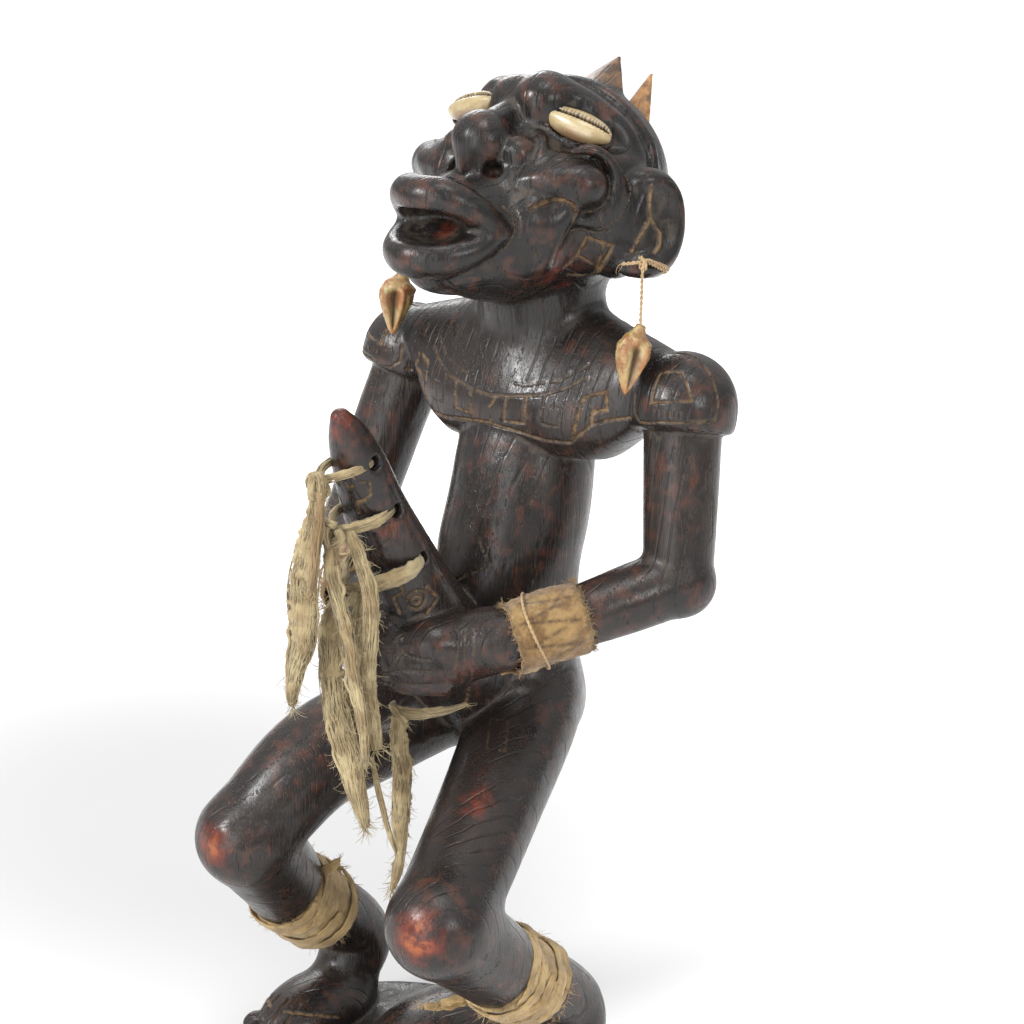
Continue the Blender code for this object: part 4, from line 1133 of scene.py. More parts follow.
def bark_material():
    """Beaten bark cloth with a worn brown zigzag."""
    n = Nodes("beaten_bark_cloth")
    plain = n.place()
    cloud = n.noise(plain, 6.0, 4.0, 0.62)
    colour = n.mix(n.step(cloud, 0.40, 0.60), (0.15, 0.082, 0.029), (0.25, 0.158, 0.062))
    colour = n.mix(n.step(n.noise(plain, 2.4, 3.0, 0.6), 0.55, 0.72, 0.0, 0.6), colour,
                   (0.33, 0.235, 0.110))
    smudge = n.math("MULTIPLY", n.attribute("stain"),
                    n.step(n.noise(plain, 2.8, 3.0, 0.65), 0.30, 0.58))
    colour = n.mix(n.math("MULTIPLY", smudge, 0.92), colour, (0.060, 0.033, 0.016))
    fuzz = n.noise(plain, 0.38, 3.0, 0.7)
    colour = n.mix(n.step(fuzz, 0.56, 0.74, 0.0, 0.55), colour, (0.16, 0.095, 0.044))
    normal = n.bump(fuzz, 0.34, 1.0)
    normal = n.bump(n.noise(plain, 1.6, 3.0, 0.6), 0.45, 0.8, normal)
    return n.done(colour, n.step(cloud, 0.3, 0.7, 0.72, 0.9), normal,
                  Sheen_Weight=0.25, Sheen_Roughness=0.5, Specular_IOR_Level=0.25)


# ---------------------------------------------------------------- strip maker
def frames_along(points, facing):
    """Tangent, side and normal at each point, with the side kept level with
    `facing`, which is the strip's flat face."""
    p = np.array(points)
    t = np.gradient(p, axis=0)
    t /= np.linalg.norm(t, axis=1)[:, None] + 1e-12
    f = np.array(facing, float)
    if f.ndim == 1:
        f = np.tile(f, (len(p), 1))
    n = f - (f * t).sum(1)[:, None] * t
    n /= np.linalg.norm(n, axis=1)[:, None] + 1e-12
    return t, np.cross(n, t), n


def wobble(rng, size, smooth):
    """A smooth random row, about -1 to 1."""
    row = rng.normal(size=size + 6 * smooth)
    kernel = np.hanning(2 * smooth + 1)
    row = np.convolve(row, kernel / np.sqrt((kernel ** 2).sum()), "same")
    return row[3 * smooth: 3 * smooth + size]


class Bundle:
    """Collects tube-like pieces into one mesh, with attributes."""

    def __init__(self):
        self.v, self.f, self.a = [], [], {"fibre": [], "along": [], "stain": []}
        self.count = 0

    def rings(self, rings, fibre, along, stain, cap=True, wrap=True):
        """rings: m x n x 3 points. Each ring is joined to the next."""
        m, n, _ = rings.shape
        base = self.count
        self.v.append(rings.reshape(-1, 3))
        i = np.arange(m - 1)[:, None] * n
        j = np.arange(n if wrap else n - 1)[None, :]
        k = (j + 1) % n
        quads = np.stack([i + j, i + n + j, i + n + k, i + k], -1).reshape(-1, 4) + base
        self.f.append(quads)
        for key, value in (("fibre", fibre), ("along", along), ("stain", stain)):
            self.a[key].append(np.broadcast_to(value, (m, n)).ravel())
        self.count += m * n
        if cap:
            for ring, turn in ((0, 1), (m - 1, -1)):
                self.v.append(rings[ring].mean(0)[None])
                for key, value in (("fibre", fibre), ("along", along), ("stain", stain)):
                    self.a[key].append([np.broadcast_to(value, (m, n))[ring, 0]])
                c = self.count
                row = base + ring * n + np.arange(n)
                nxt = base + ring * n + (np.arange(n) + 1) % n
                q = np.stack([np.full(n, c), row, nxt, np.full(n, c)], 1)
                if turn < 0:
                    q = q[:, ::-1]
                self.f.append(q)
                self.count += 1

    def mesh(self, name):
        verts = np.concatenate(self.v)
        quads = np.concatenate(self.f)
        tri = (quads[:, 0] == quads[:, 3])
        mesh = bpy.data.meshes.new(name)
        faces = [tuple(q[:3]) if t else tuple(q) for q, t in zip(quads.tolist(), tri)]
        mesh.from_pydata((verts * MM).tolist(), [], faces)
        for key, value in self.a.items():
            set_attribute(mesh, key, np.concatenate([np.ravel(v) for v in value]))
        mesh.update()
        return mesh


def strip(bundle, rng, route, widths, thick, facing, sides=26, step=0.7, ridges=0.26,
          twist=0.0, rough_edge=0.30, stain=0.0):
    """A soft, matted strip along a route. `widths` in mm, one to each knot."""
    knots = np.column_stack([np.array(route, float), np.array(widths, float)])
    path = even(spline_points(knots, 8), step)
    m = len(path)
    p, w = path[:, :3], np.maximum(path[:, 3], 0.5)
    t, side, up = frames_along(p, facing)
    if twist:
        a = np.linspace(0, twist, m)[:, None]
        side, up = side * np.cos(a) + up * np.sin(a), up * np.cos(a) - side * np.sin(a)
    angle = np.linspace(0, 2 * np.pi, sides, endpoint=False)
    c, s = np.cos(angle), np.sin(angle)
    c = np.sign(c) * np.abs(c) ** 0.8
    left = 1 + rough_edge * (np.clip(wobble(rng, m, 2), -1.6, 1.6) * 0.40
                             + np.clip(wobble(rng, m, 24), -1.6, 1.6) * 0.40)
    right = 1 + rough_edge * (np.clip(wobble(rng, m, 2), -1.6, 1.6) * 0.40
                              + np.clip(wobble(rng, m, 24), -1.6, 1.6) * 0.40)
    fold = wobble(rng, m, 6) * 0.12 * w
    half = np.where(c[None, :] > 0, left[:, None], right[:, None]) * w[:, None] / 2
    deep = np.minimum(np.asarray(thick) / 2, w * 0.45)
    if np.ndim(deep) == 0:
        deep = np.full(m, float(deep))
    rows = np.stack([wobble(rng, m, 16) for _ in range(sides)], 1)
    rows = 0.6 * rows + 0.4 * np.sin(angle * 5 + 1.3)[None, :]
    bend = fold[:, None] * (1 - c ** 2)[None, :]
    u = half * c[None, :] * (1 + 0.05 * rows)
    v = deep[:, None] * s[None, :] + ridges * rows * np.abs(s)[None, :] ** 0.5 + bend * 0.6
    v *= np.clip(w / 1.6, 0.35, 1.0)[:, None]
    rings = p[:, None, :] + side[:, None, :] * u[..., None] + up[:, None, :] * v[..., None]
    along = np.concatenate([[0], np.cumsum(np.linalg.norm(np.diff(p, axis=0), axis=1))])
    bundle.rings(rings, u + 3.0 * np.sign(s)[None, :], along[:, None] + 0 * u, stain)
    return p, w, t, side, up


def hairs(bundle, rng, at, direction, count, length, radius=0.10, spread=0.5, droop=0.3,
          stain=0.0):
    """Loose fibres from the points `at`, heading about along `direction`."""
    at, direction = np.array(at, float), np.array(direction, float)
    for _ in range(count):
        i = rng.integers(len(at))
        d = direction[i % len(direction)] + rng.normal(size=3) * spread
        d /= np.linalg.norm(d) + 1e-9
        long = length * rng.uniform(0.35, 1.15)
        m = 6
        q = [at[i]]
        curl = rng.normal(size=3) * 0.22
        for k in range(m - 1):
            d = d + curl + np.array((0, 0, -droop * 0.25)) + rng.normal(size=3) * 0.12
            d /= np.linalg.norm(d)
            q.append(q[-1] + d * long / (m - 1))
        q = np.array(q)
        t, side, up = frames_along(q, (0.3, -0.9, 0.31))
        r = radius * rng.uniform(0.7, 1.3) * np.linspace(1, 0.35, m)
        angle = np.linspace(0, 2 * np.pi, 4, endpoint=False)
        rings = (q[:, None, :] + side[:, None, :] * (r[:, None] * np.cos(angle))[..., None]
                 + up[:, None, :] * (r[:, None] * np.sin(angle))[..., None])
        bundle.rings(rings, rng.uniform(0, 40), np.linspace(0, long, m)[:, None], stain,
                     cap=False)


def threads(bundle, rng, p, side, up, w, thick, count, radius=0.13):
    """Long loose fibres that run along a strip's surface."""
    m = len(p)
    for _ in range(count):
        i0 = rng.integers(0, max(1, m - 12))
        i1 = min(m, i0 + int(rng.uniform(0.25, 0.7) * m) + 8)
        at = rng.uniform(-1, 1)
        drift = np.linspace(0, rng.normal() * 0.45, i1 - i0) + wobble(rng, i1 - i0, 6) * 0.10
        u = np.clip(at + drift, -1.12, 1.12)
        face = rng.choice((-1.0, 1.0, 1.0))
        lift = np.sqrt(np.clip(1 - np.minimum(np.abs(u), 1) ** 2, 0, 1)) * thick * 0.5 + 0.10
        lift = np.minimum(lift, w[i0:i1] * 0.45 + 0.12)
        q = (p[i0:i1] + side[i0:i1] * (u * w[i0:i1] * 0.5)[:, None]
             + up[i0:i1] * (face * (lift + rng.uniform(0, 0.25)))[:, None])[::2]
        if len(q) < 4:
            continue
        r = radius * rng.uniform(0.6, 1.6) * np.interp(np.linspace(0, 1, len(q)),
                                                       [0, 0.15, 0.8, 1], [0.4, 1, 1, 0.3])
        t, sd, nn = frames_along(q, (0.3, -0.9, 0.31))
        angle = np.linspace(0, 2 * np.pi, 4, endpoint=False)
        rings = (q[:, None, :] + sd[:, None, :] * (r[:, None] * np.cos(angle))[..., None]
                 + nn[:, None, :] * (r[:, None] * np.sin(angle))[..., None])
        bundle.rings(rings, rng.uniform(0, 40), np.linspace(0, 30, len(q))[:, None],
                     rng.choice((0.0, 0.0, 0.0, 0.5)), cap=False)


def put(name, bundle_or_mesh, material):
    mesh = bundle_or_mesh.mesh(name) if isinstance(bundle_or_mesh, Bundle) else bundle_or_mesh
    obj = link(name, mesh, material)
    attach(obj, "root")
    return obj


# ---------------------------------------------------------------- free strands
# Name: overall width, knots, widths at the knots, thickness, facing, turn, frays.
STRANDS = {
    "upper_tie_strand": (8.0, [
        (-4.0, -94.0, 237.4), (-4.4, -95.0, 228.4), (-5.5, -96.5, 218.3),
        (-7.6, -97.5, 203.5), (-7.4, -97.5, 191.9), (-8.4, -97.0, 184.0),
        (-10.9, -97.0, 175.5), (-12.8, -97.0, 166.2), (-13.0, -97.0, 161.0)],
        [4.6, 5.0, 7.4, 9.4, 9.6, 8.2, 6.4, 4.0, 1.6], 3.4, (0.55, -0.83, 0.1), 0.5, 110),
    "upper_tie_strip": (2.6, [
        (2.2, -99.6, 237.9), (2.4, -100.6, 229.2), (2.4, -102.0, 221.4),
        (1.9, -102.5, 213.2), (0.6, -102.5, 204.6)],
        [2.6, 2.9, 2.8, 2.6, 1.5], 1.2, (0.5, -0.86, 0.0), 0.0, 22),
    "middle_tie_strand": (4.6, [
        (-1.4, -91.0, 221.7), (-0.8, -92.0, 215.9), (0.1, -92.5, 208.3),
        (2.3, -92.5, 200.4), (6.8, -92.0, 187.5), (8.8, -91.5, 174.2),
        (11.2, -91.0, 165.9), (12.8, -91.0, 157.1), (13.6, -91.0, 147.8)],
        [4.6, 5.0, 5.2, 4.9, 4.4, 4.0, 3.6, 3.2, 2.2], 2.0, (0.5, -0.86, 0.1), 0.4, 46),
    "middle_tie_strip": (4.4, [
        (4.4, -89.2, 221.9), (7.2, -88.0, 215.3), (9.4, -86.2, 205.9),
        (10.9, -85.8, 198.6), (10.6, -85.6, 186.3), (9.6, -85.6, 176.5),
        (10.2, -85.6, 165.8), (12.1, -85.6, 157.9), (13.7, -85.6, 149.7)],
        [4.2, 4.2, 4.0, 4.6, 4.6, 4.4, 4.6, 4.4, 3.2], 1.9, (0.6, -0.8, 0.0), -0.5, 54),
    "lower_tie_strand": (8.4, [
        (-2.6, -84.6, 200.4), (-5.4, -84.6, 193.8), (-7.7, -85.0, 185.0),
        (-7.0, -85.5, 175.0), (-5.0, -86.0, 163.2), (-1.8, -86.6, 153.9),
        (3.0, -87.4, 144.4), (7.0, -88.0, 134.0), (11.2, -88.0, 122.3)],
        [4.6, 5.6, 7.2, 7.6, 7.8, 8.4, 8.0, 6.4, 2.2], 2.8, (0.55, -0.83, 0.1), 0.3, 120),
    "lower_tie_strip": (5.6, [
        (3.2, -80.2, 199.6), (0.8, -79.6, 191.8), (-0.6, -79.8, 179.6),
        (-0.6, -80.2, 164.4), (-0.4, -80.6, 150.4), (1.0, -80.8, 136.5)],
        [4.4, 5.4, 5.8, 6.2, 5.8, 3.0], 1.8, (0.5, -0.86, 0.0), 0.6, 90),
    "lower_tie_thread": (1.4, [
        (6.6, -80.4, 143.4), (10.2, -81.6, 135.0), (16.1, -82.6, 121.7),
        (19.6, -82.6, 114.3)],
        [1.6, 1.6, 1.4, 0.8], 0.8, (0.5, -0.86, 0.0), 0.0, 12),
    "groin_tie_strand": (6.0, [
        (1.1, -61.5, 150.6), (1.7, -61.5, 139.7), (3.4, -61.5, 128.4),
        (2.9, -61.5, 110.8), (3.4, -61.5, 103.1), (1.6, -61.5, 94.1),
        (-0.5, -61.5, 86.6)],
        [4.8, 6.2, 6.4, 5.6, 3.2, 3.4, 1.2], 1.9, (0.6, -0.8, 0.1), 0.7, 80),
}
# short pieces that tie each strand on: strand, widths, thickness and routes
TIES = {
    "upper_tie_loop": ("upper_tie_strand", 2.0, [
        ([(5.6, -80.6, 243.0), (6.2, -84.0, 242.4), (4.6, -89.0, 241.2), (0.6, -92.6, 239.6),
          (-3.4, -94.4, 237.8)], [2.6, 3.6, 3.6, 3.4, 3.6]),
        ([(-5.6, -80.6, 243.0), (-6.8, -84.4, 242.0), (-6.4, -90.0, 240.4),
          (-4.4, -93.8, 238.6)], [2.6, 3.2, 3.4, 3.6]),
        ([(-1.0, -95.6, 240.4), (-5.8, -96.2, 238.8), (-6.2, -95.0, 235.0),
          (-1.8, -95.4, 233.6), (1.8, -96.4, 236.0), (0.6, -96.8, 239.4)],
         [2.8, 3.6, 3.8, 3.8, 3.4, 2.6]),
        ([(-2.6, -97.2, 240.0), (-3.4, -97.8, 236.6), (-4.2, -96.4, 232.4)],
         [3.0, 4.2, 3.2]),
        ([(-2.4, -95.8, 240.2), (-0.2, -97.6, 240.8), (1.8, -99.2, 239.2), (2.3, -99.8, 235.6)],
         [2.8, 3.2, 3.2, 2.4])]),
    "middle_tie_loop": ("middle_tie_strand", 2.0, [
        ([(7.4, -72.6, 226.2), (9.0, -76.4, 225.8), (8.0, -82.6, 224.0), (4.0, -88.0, 222.2),
          (-0.6, -90.8, 221.4)], [2.4, 3.6, 4.2, 4.2, 4.2]),
        ([(-7.6, -72.6, 226.0), (-9.2, -77.0, 225.0), (-7.6, -84.0, 223.0),
          (-2.6, -90.0, 221.6)], [2.4, 3.4, 3.8, 3.8]),
        ([(1.6, -92.4, 224.0), (-3.2, -92.6, 223.4), (-4.4, -91.6, 219.4),
          (-0.2, -92.0, 217.6), (3.4, -92.2, 220.0), (2.6, -92.8, 223.0)],
         [2.6, 3.4, 3.6, 3.6, 3.4, 2.6]),
        ([(-0.8, -93.8, 223.4), (-1.4, -94.2, 220.2), (-0.6, -93.0, 216.6)],
         [2.8, 3.8, 3.0])]),
    "lower_tie_loop": ("lower_tie_strand", 2.4, [
        ([(9.6, -62.2, 208.2), (12.6, -65.6, 207.4), (12.0, -71.6, 205.4), (7.6, -78.4, 202.8),
          (2.0, -82.6, 200.8), (-2.4, -84.4, 200.2)], [2.8, 5.2, 6.4, 6.0, 5.2, 4.6]),
        ([(-9.6, -62.2, 208.0), (-12.4, -66.4, 206.6), (-10.6, -74.0, 203.6),
          (-4.6, -82.0, 200.6)], [2.6, 4.0, 4.6, 4.6]),
        ([(-0.6, -85.6, 203.4), (-5.2, -85.6, 201.6), (-4.4, -85.0, 197.2),
          (0.8, -85.2, 196.6), (3.0, -84.8, 200.4)], [2.6, 3.6, 3.8, 3.6, 2.8])]),
    "groin_wrap": ("groin_tie_strand", 1.8, [
        ([(-9.0, -52.0, 149.6), (-4.6, -57.4, 150.6), (1.4, -60.0, 151.4), (8.4, -58.2, 152.2),
          (14.6, -53.0, 153.6), (19.0, -47.0, 155.2)], [2.2, 3.8, 4.6, 4.2, 3.4, 1.2]),
        ([(-3.0, -60.0, 153.0), (1.2, -61.6, 151.0), (4.2, -60.6, 148.6)], [2.2, 3.6, 2.4])]),
}


def build_strands(pale, brown):
    made = {}
    for number, (name, spec) in enumerate(STRANDS.items()):
        width, knots, widths, thick, facing, twist, frays = spec
        rng = np.random.default_rng(100 + number)
        material = brown if name in ("upper_tie_strip",) else pale
        body = Bundle()
        p, w, t, side, up = strip(body, rng, knots, widths, thick, facing, twist=twist)
        obj = put(name + "_fibre", body, material)
        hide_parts(name)
        fray = Bundle()
        sign = rng.choice([-1.0, 1.0], len(p))
        edge = p + side * (sign * w * 0.42)[:, None]
        out = side * sign[:, None] * 0.8 + t * 0.9 + up * 0.25
        hairs(fray, rng, edge, out, int(frays * 1.9), 4.8, 0.10, 0.42)
        threads(fray, rng, p, side, up, w, thick, int(16 + width * 22), 0.16)
        tail = p[-6:] + side[-6:] * (rng.uniform(-0.3, 0.3, 6) * w[-6:])[:, None]
        hairs(fray, rng, tail, t[-6:], 34 if width > 3 else 5, 7.0, 0.14, 0.28)
        for k in range(2 if width > 3 else 0):  # a torn sliver lying beside the strip
            i0 = int(len(p) * (0.15 + 0.4 * k))
            i1 = min(len(p) - 2, i0 + int(len(p) * 0.34))
            off = side[i0:i1] * (w[i0:i1] * (0.46 - 0.9 * k))[:, None] + up[i0:i1] * (thick * 0.42)
            wave = wobble(rng, i1 - i0, 5)[:, None] * 0.5
            line = (p[i0:i1] + off + side[i0:i1] * wave)[::4]
            if len(line) > 3:
                strip(fray, rng, line, np.linspace(1.5, 0.5, len(line)), 0.7, facing, sides=8,
                      ridges=0.08)
        frayed = put(name + "_frays", fray, material)
        made[name] = (obj, [frayed])
    for number, (name, (owner, thick, routes)) in enumerate(TIES.items()):
        rng = np.random.default_rng(300 + number)
        body = Bundle()
        for route, widths in routes:
            middle_y = np.mean([q[1] for q in route])
            facing = np.array(route, float) - np.array((0.0, middle_y + 8.0,
                                                        np.mean([q[2] for q in route])))
            knots = np.column_stack([np.array(route, float), np.array(widths), facing])
            path = even(spline_points(knots, 8), 0.9)
            p, w, t, side, up = strip(body, rng, route, np.array(widths) * 0.80, thick,
                                      _facing_for(path, route, facing), sides=18, step=0.9)
            threads(body, rng, p, side, up, w, thick, 16, 0.14)
        pts = np.concatenate([np.array(r) for r, _ in routes])
        hairs(body, rng, pts, [(0.2, -0.7, -0.5)], 26, 4.0, 0.10, 0.7)
        tie = put(name, body, pale)
        made[owner][1].append(tie)
    for name, (obj, extra) in made.items():
        width, knots = STRANDS[name][0], STRANDS[name][1]
        line = even(spline_points(np.array(knots, float), 12), 2.0) * MM


def _facing_for(path, route, facing):
    """The outward facing at each point of the strip made from the route."""
    knots = np.column_stack([np.array(route, float), facing])
    fine = spline_points(knots, 8)
    p = even(np.column_stack([fine[:, :3], fine[:, 3:]]), 0.9)
    return p[:, 3:6]


# ---------------------------------------------------------------- ear pendants
EAR_STRING = {
    +1: [(51.5, 11.3, 297.6), (51.7, 4.5, 300.6), (51.5, -1.6, 302.6),
         (51.3, -3.0, 299.0), (51.3, -3.0, 290.0), (51.3, -3.0, 282.4)],
    -1: [(-50.7, 12.0, 297.9), (-50.9, 5.0, 300.9), (-50.8, -0.8, 303.0),
         (-50.8, -2.2, 299.4), (-50.9, -2.2, 292.0), (-50.9, -2.2, 285.6)]}
SHELL_LENGTH, SHELL_WIDTH, SHELL_LEAN = 23.0, 12.5, {+1: 17.0, -1: 13.0}


def twisted(bundle, rng, points, radius, turns_per_mm=0.45):
    """A two-ply string."""
    p = even(spline_points(np.array(points, float), 10), 0.35)
    t, side, up = frames_along(p, (0.3, -0.9, 0.31))
    along = np.arange(len(p)) * 0.35
    for k in range(2):
        a = along * turns_per_mm * 2 * np.pi / 1.6 + k * np.pi
        c = p + (side * np.cos(a)[:, None] + up * np.sin(a)[:, None]) * radius * 0.45
        angle = np.linspace(0, 2 * np.pi, 7, endpoint=False)
        rings = (c[:, None, :]
                 + side[:, None, :] * (radius * 0.58 * np.cos(angle))[None, :, None]
                 + up[:, None, :] * (radius * 0.58 * np.sin(angle))[None, :, None])
        bundle.rings(rings, (angle + k * 3)[None, :], along[:, None] * 0.5, 0.0)
    return p


def ear_shell_mesh(s):
    """A small spired whelk, hung by its spire with the canal downward."""
    m, n = (90, 72)
    t = np.linspace(0, 1, m)
    outline = np.interp(t, [0, .05, .12, .20, .28, .36, .46, .58, .70, .82, .93, 1.0],
                        [.16, .30, .46, .72, .92, 1.0, .98, .84, .64, .44, .26, .06])
    a = np.linspace(0, 2 * np.pi, n, endpoint=False)
    A, T = np.meshgrid(a, t)
    R = outline[:, None] * np.ones_like(A)
    spiral = (T * 5.2 - A / (2 * np.pi)) % 1.0
    whorl = np.clip(1 - T / 0.42, 0, 1)
    R *= 1 + whorl * 0.16 * (np.cos(spiral * 2 * np.pi) - 0.3)
    knob = np.exp(-((T - 0.27) / 0.07) ** 2) * np.maximum(0, np.cos(A * 7)) ** 2
    R += 0.07 * knob
    R *= 1 + 0.010 * np.sin(T * 120 + np.sin(A * 3))
    R *= 1 + 0.05 * np.sin(A * 3 + 1.0) * np.sin(T * 5)
    mouth = 0.9 + 0.5 * T                       # the aperture's bearing round the axis
    gap = (A - mouth + np.pi) % (2 * np.pi) - np.pi
    open_ = np.exp(-(gap / 0.36) ** 2) * np.clip((T - 0.30) / 0.08, 0, 1) \
        * np.clip((0.97 - T) / 0.1, 0, 1)
    lip = np.exp(-((gap - 0.52) / 0.17) ** 2) * np.clip((T - 0.25) / 0.1, 0, 1) \
        * np.clip((0.95 - T) / 0.15, 0, 1)
    R = R * (1 - 0.58 * open_) + 0.26 * lip * outline[:, None]
    x = R * SHELL_WIDTH / 2 * np.cos(A)
    y = R * SHELL_WIDTH / 2 * 0.85 * np.sin(A)
    z = -T * SHELL_LENGTH
    x += 0.9 * np.sin(T * 3.0) * (T > 0)
    verts = np.stack([x, y, z], -1)
    turn = -1.65 if s > 0 else -2.1
    c, sn = math.cos(turn), math.sin(turn)
    verts = np.stack([verts[..., 0] * c - verts[..., 1] * sn,
                      verts[..., 0] * sn + verts[..., 1] * c, verts[..., 2]], -1)
    lean = -math.radians(SHELL_LEAN[s])
    c, sn = math.cos(lean), math.sin(lean)
    verts = np.stack([verts[..., 0], verts[..., 1] * c - verts[..., 2] * sn,
                      verts[..., 1] * sn + verts[..., 2] * c], -1)
    end = np.array(EAR_STRING[s][-1]) - (0, 0, 0.3)
    bundle = Bundle()
    bundle.rings(verts + end, 0.0, T * 20, 0.0)
    mesh = bundle.mesh("shell")
    extra = [0.0, 0.0]
    stain = np.clip((T - 0.80) / 0.2, 0, 1) * 0.8 + 0.5 * lip + 0.25 * knob
    set_attribute(mesh, "stain", np.concatenate([stain.ravel(), extra]))
    # painted shade in the aperture
    set_attribute(mesh, "slit", np.concatenate([(open_ ** 1.5).ravel(), extra]))
    return mesh


def build_pendants(shell_mat, string_mat):
    for s, side in ((1, "left"), (-1, "right")):
        rng = np.random.default_rng(40 + s)
        shell = put(f"{side}_whelk_shell", ear_shell_mesh(s), shell_mat)
        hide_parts(f"{side}_ear_shell")
        string = Bundle()
        twisted(string, rng, EAR_STRING[s], 0.55)
        cord = put(f"{side}_ear_cord", string, string_mat)
        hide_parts(f"{side}_ear_string")
        # the string's turns round the lobe, its knot and the turns on the shell
        knot = Bundle()
        x, y, z = LOBE[s]
        o = s * 1.0
        loops = [
            [(x + o * 1.0, y + 4.6, z + 1.0), (x + o * 4.4, y + 3.4, z + 0.6),
             (x + o * 5.0, y - 1.4, z + 2.4), (x + o * 4.6, y - 6.0, z + 3.6),
             (x + o * 1.4, y - 9.6, z + 3.4), (x - o * 3.6, y - 10.0, z + 2.4)],
            [(x + o * 1.6, y + 4.4, z - 1.4), (x + o * 4.8, y + 2.6, z - 0.6),
             (x + o * 5.2, y - 3.0, z + 1.8), (x + o * 5.0, y - 8.0, z + 4.0),
             (x + o * 3.0, y - 10.2, z + 5.6)],
            [(x + o * 3.4, y - 9.6, z + 5.6), (x + o * 5.6, y - 10.4, z + 4.2),
             (x + o * 5.8, y - 10.2, z + 2.2), (x + o * 3.6, y - 9.8, z + 2.4),
             (x + o * 4.2, y - 10.4, z + 4.6)],
        ]
        for loop in loops:
            twisted(knot, rng, loop, 0.62)
        hairs(knot, rng, [loops[2][0], loops[0][-1], loops[1][0]],
              [(o * 0.5, -0.4, 0.5), (-o * 0.6, -0.3, -0.2), (o * 0.7, 0.3, -0.2)], 9, 4.0,
              0.12, 0.5, 0.1)
        tie = put(f"{side}_ear_knot", knot, string_mat)
        end = np.array(EAR_STRING[s][-1])
        wrap = Bundle()
        ring = [tuple(end + (1.6 * math.cos(a), 1.4 * math.sin(a), -1.2 - 0.35 * a / 3.1))
                for a in np.linspace(0, 9.0, 22)]
        twisted(wrap, rng, ring, 0.45)
        twisted(wrap, rng, [tuple(end + (0, 0, 1.5)), tuple(end + (0.8, -0.9, 0.2)),
                            tuple(end + (1.5, -1.2, -1.6))], 0.4)
        bound = put(f"{side}_shell_binding", wrap, string_mat)


# ---------------------------------------------------------------- cowrie eyes
def cowrie_mesh(s):
    """The shell's toothed underside faces out; its back is in the socket."""
    m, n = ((70, 150))
    lat = np.linspace(-np.pi / 2, np.pi / 2, m)
    lon = np.linspace(0, 2 * np.pi, n, endpoint=False)
    bundle = Bundle()
    # rings run along the long axis
    u = np.sin(lat)
    ring = np.cos(lat)
    a = lon
    U = np.repeat(u[:, None], n, 1)
    Y = ring[:, None] ** 1.22 * np.cos(a)[None, :] * (1 - 0.10 * U ** 2)
    Z = ring[:, None] ** 0.92 * np.sin(a)[None, :]
    # one end is rounder than the other
    Y *= 1 + 0.10 * U * s
    top = Z > 0
    d = Y - 0.02 - 0.10 * U ** 2
    ends = np.clip((0.94 - np.abs(U)) / 0.12, 0, 1)
    slit = np.exp(-(d / 0.085) ** 2) * ends * top
    teeth_zone = np.exp(-((d - 0.17) / 0.17) ** 2) * ends * top
    low_zone = np.exp(-((d + 0.15) / 0.09) ** 2) * ends * top
    comb = 0.5 + 0.5 * np.cos(U * 2 * np.pi * 13.0)
    fine = 0.5 + 0.5 * np.cos(U * 2 * np.pi * 9.0 + 1.0)
    flat = 1 - 0.10 * top
    depth = -0.50 * slit + 0.10 * teeth_zone * (comb - 0.6) + 0.05 * low_zone * (fine - 0.5)
    bulge = 0.06 * np.exp(-((d - 0.42) / 0.2) ** 2) + 0.07 * np.exp(-((d + 0.42) / 0.25) ** 2)
    Zn = Z * flat + (depth + bulge * top * ends) * np.clip(Z * 2.0, 0, 1)
    notch = np.exp(-((np.abs(U) - 1.0) / 0.07) ** 2) * np.exp(-(d / 0.22) ** 2)
    p = np.stack([U * COWRIE[0] * 1.06 * (1 - 0.05 * notch), Y * COWRIE[1], Zn * COWRIE[2]], -1)
    turn = np.array(eye_turn(s))
    world = p @ turn.T + np.array(EYE[s])
    bundle.rings(world, 0.0, 0.0, 0.0)
    mesh = bundle.mesh("cowrie")
    # painted shade in the slit and in the gaps between the teeth
    dark = np.clip(slit * 1.5 + 0.95 * teeth_zone * (comb < 0.46) + 0.4 * low_zone
                   * (fine < 0.35), 0, 1)
    # painted shade: the shell's back, set in the socket, and its lower margin are darkened
    under = np.clip((-Z - 0.05) * 2.5, 0, 1) * 0.7
    low = np.clip((-Y - 0.72) * 4.0, 0, 1) * (Z < 0.55) * 0.75
    set_attribute(mesh, "slit", np.concatenate([dark.ravel(), [1.0, 1.0]]))
    set_attribute(mesh, "stain", np.concatenate([np.maximum(under, low).ravel(), [0.6, 0.6]]))
    return mesh


def build_eyes(material):
    for s, side in ((1, "left"), (-1, "right")):
        eye = put(f"{side}_cowrie", cowrie_mesh(s), material)
        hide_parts(f"{side}_cowrie_eye")


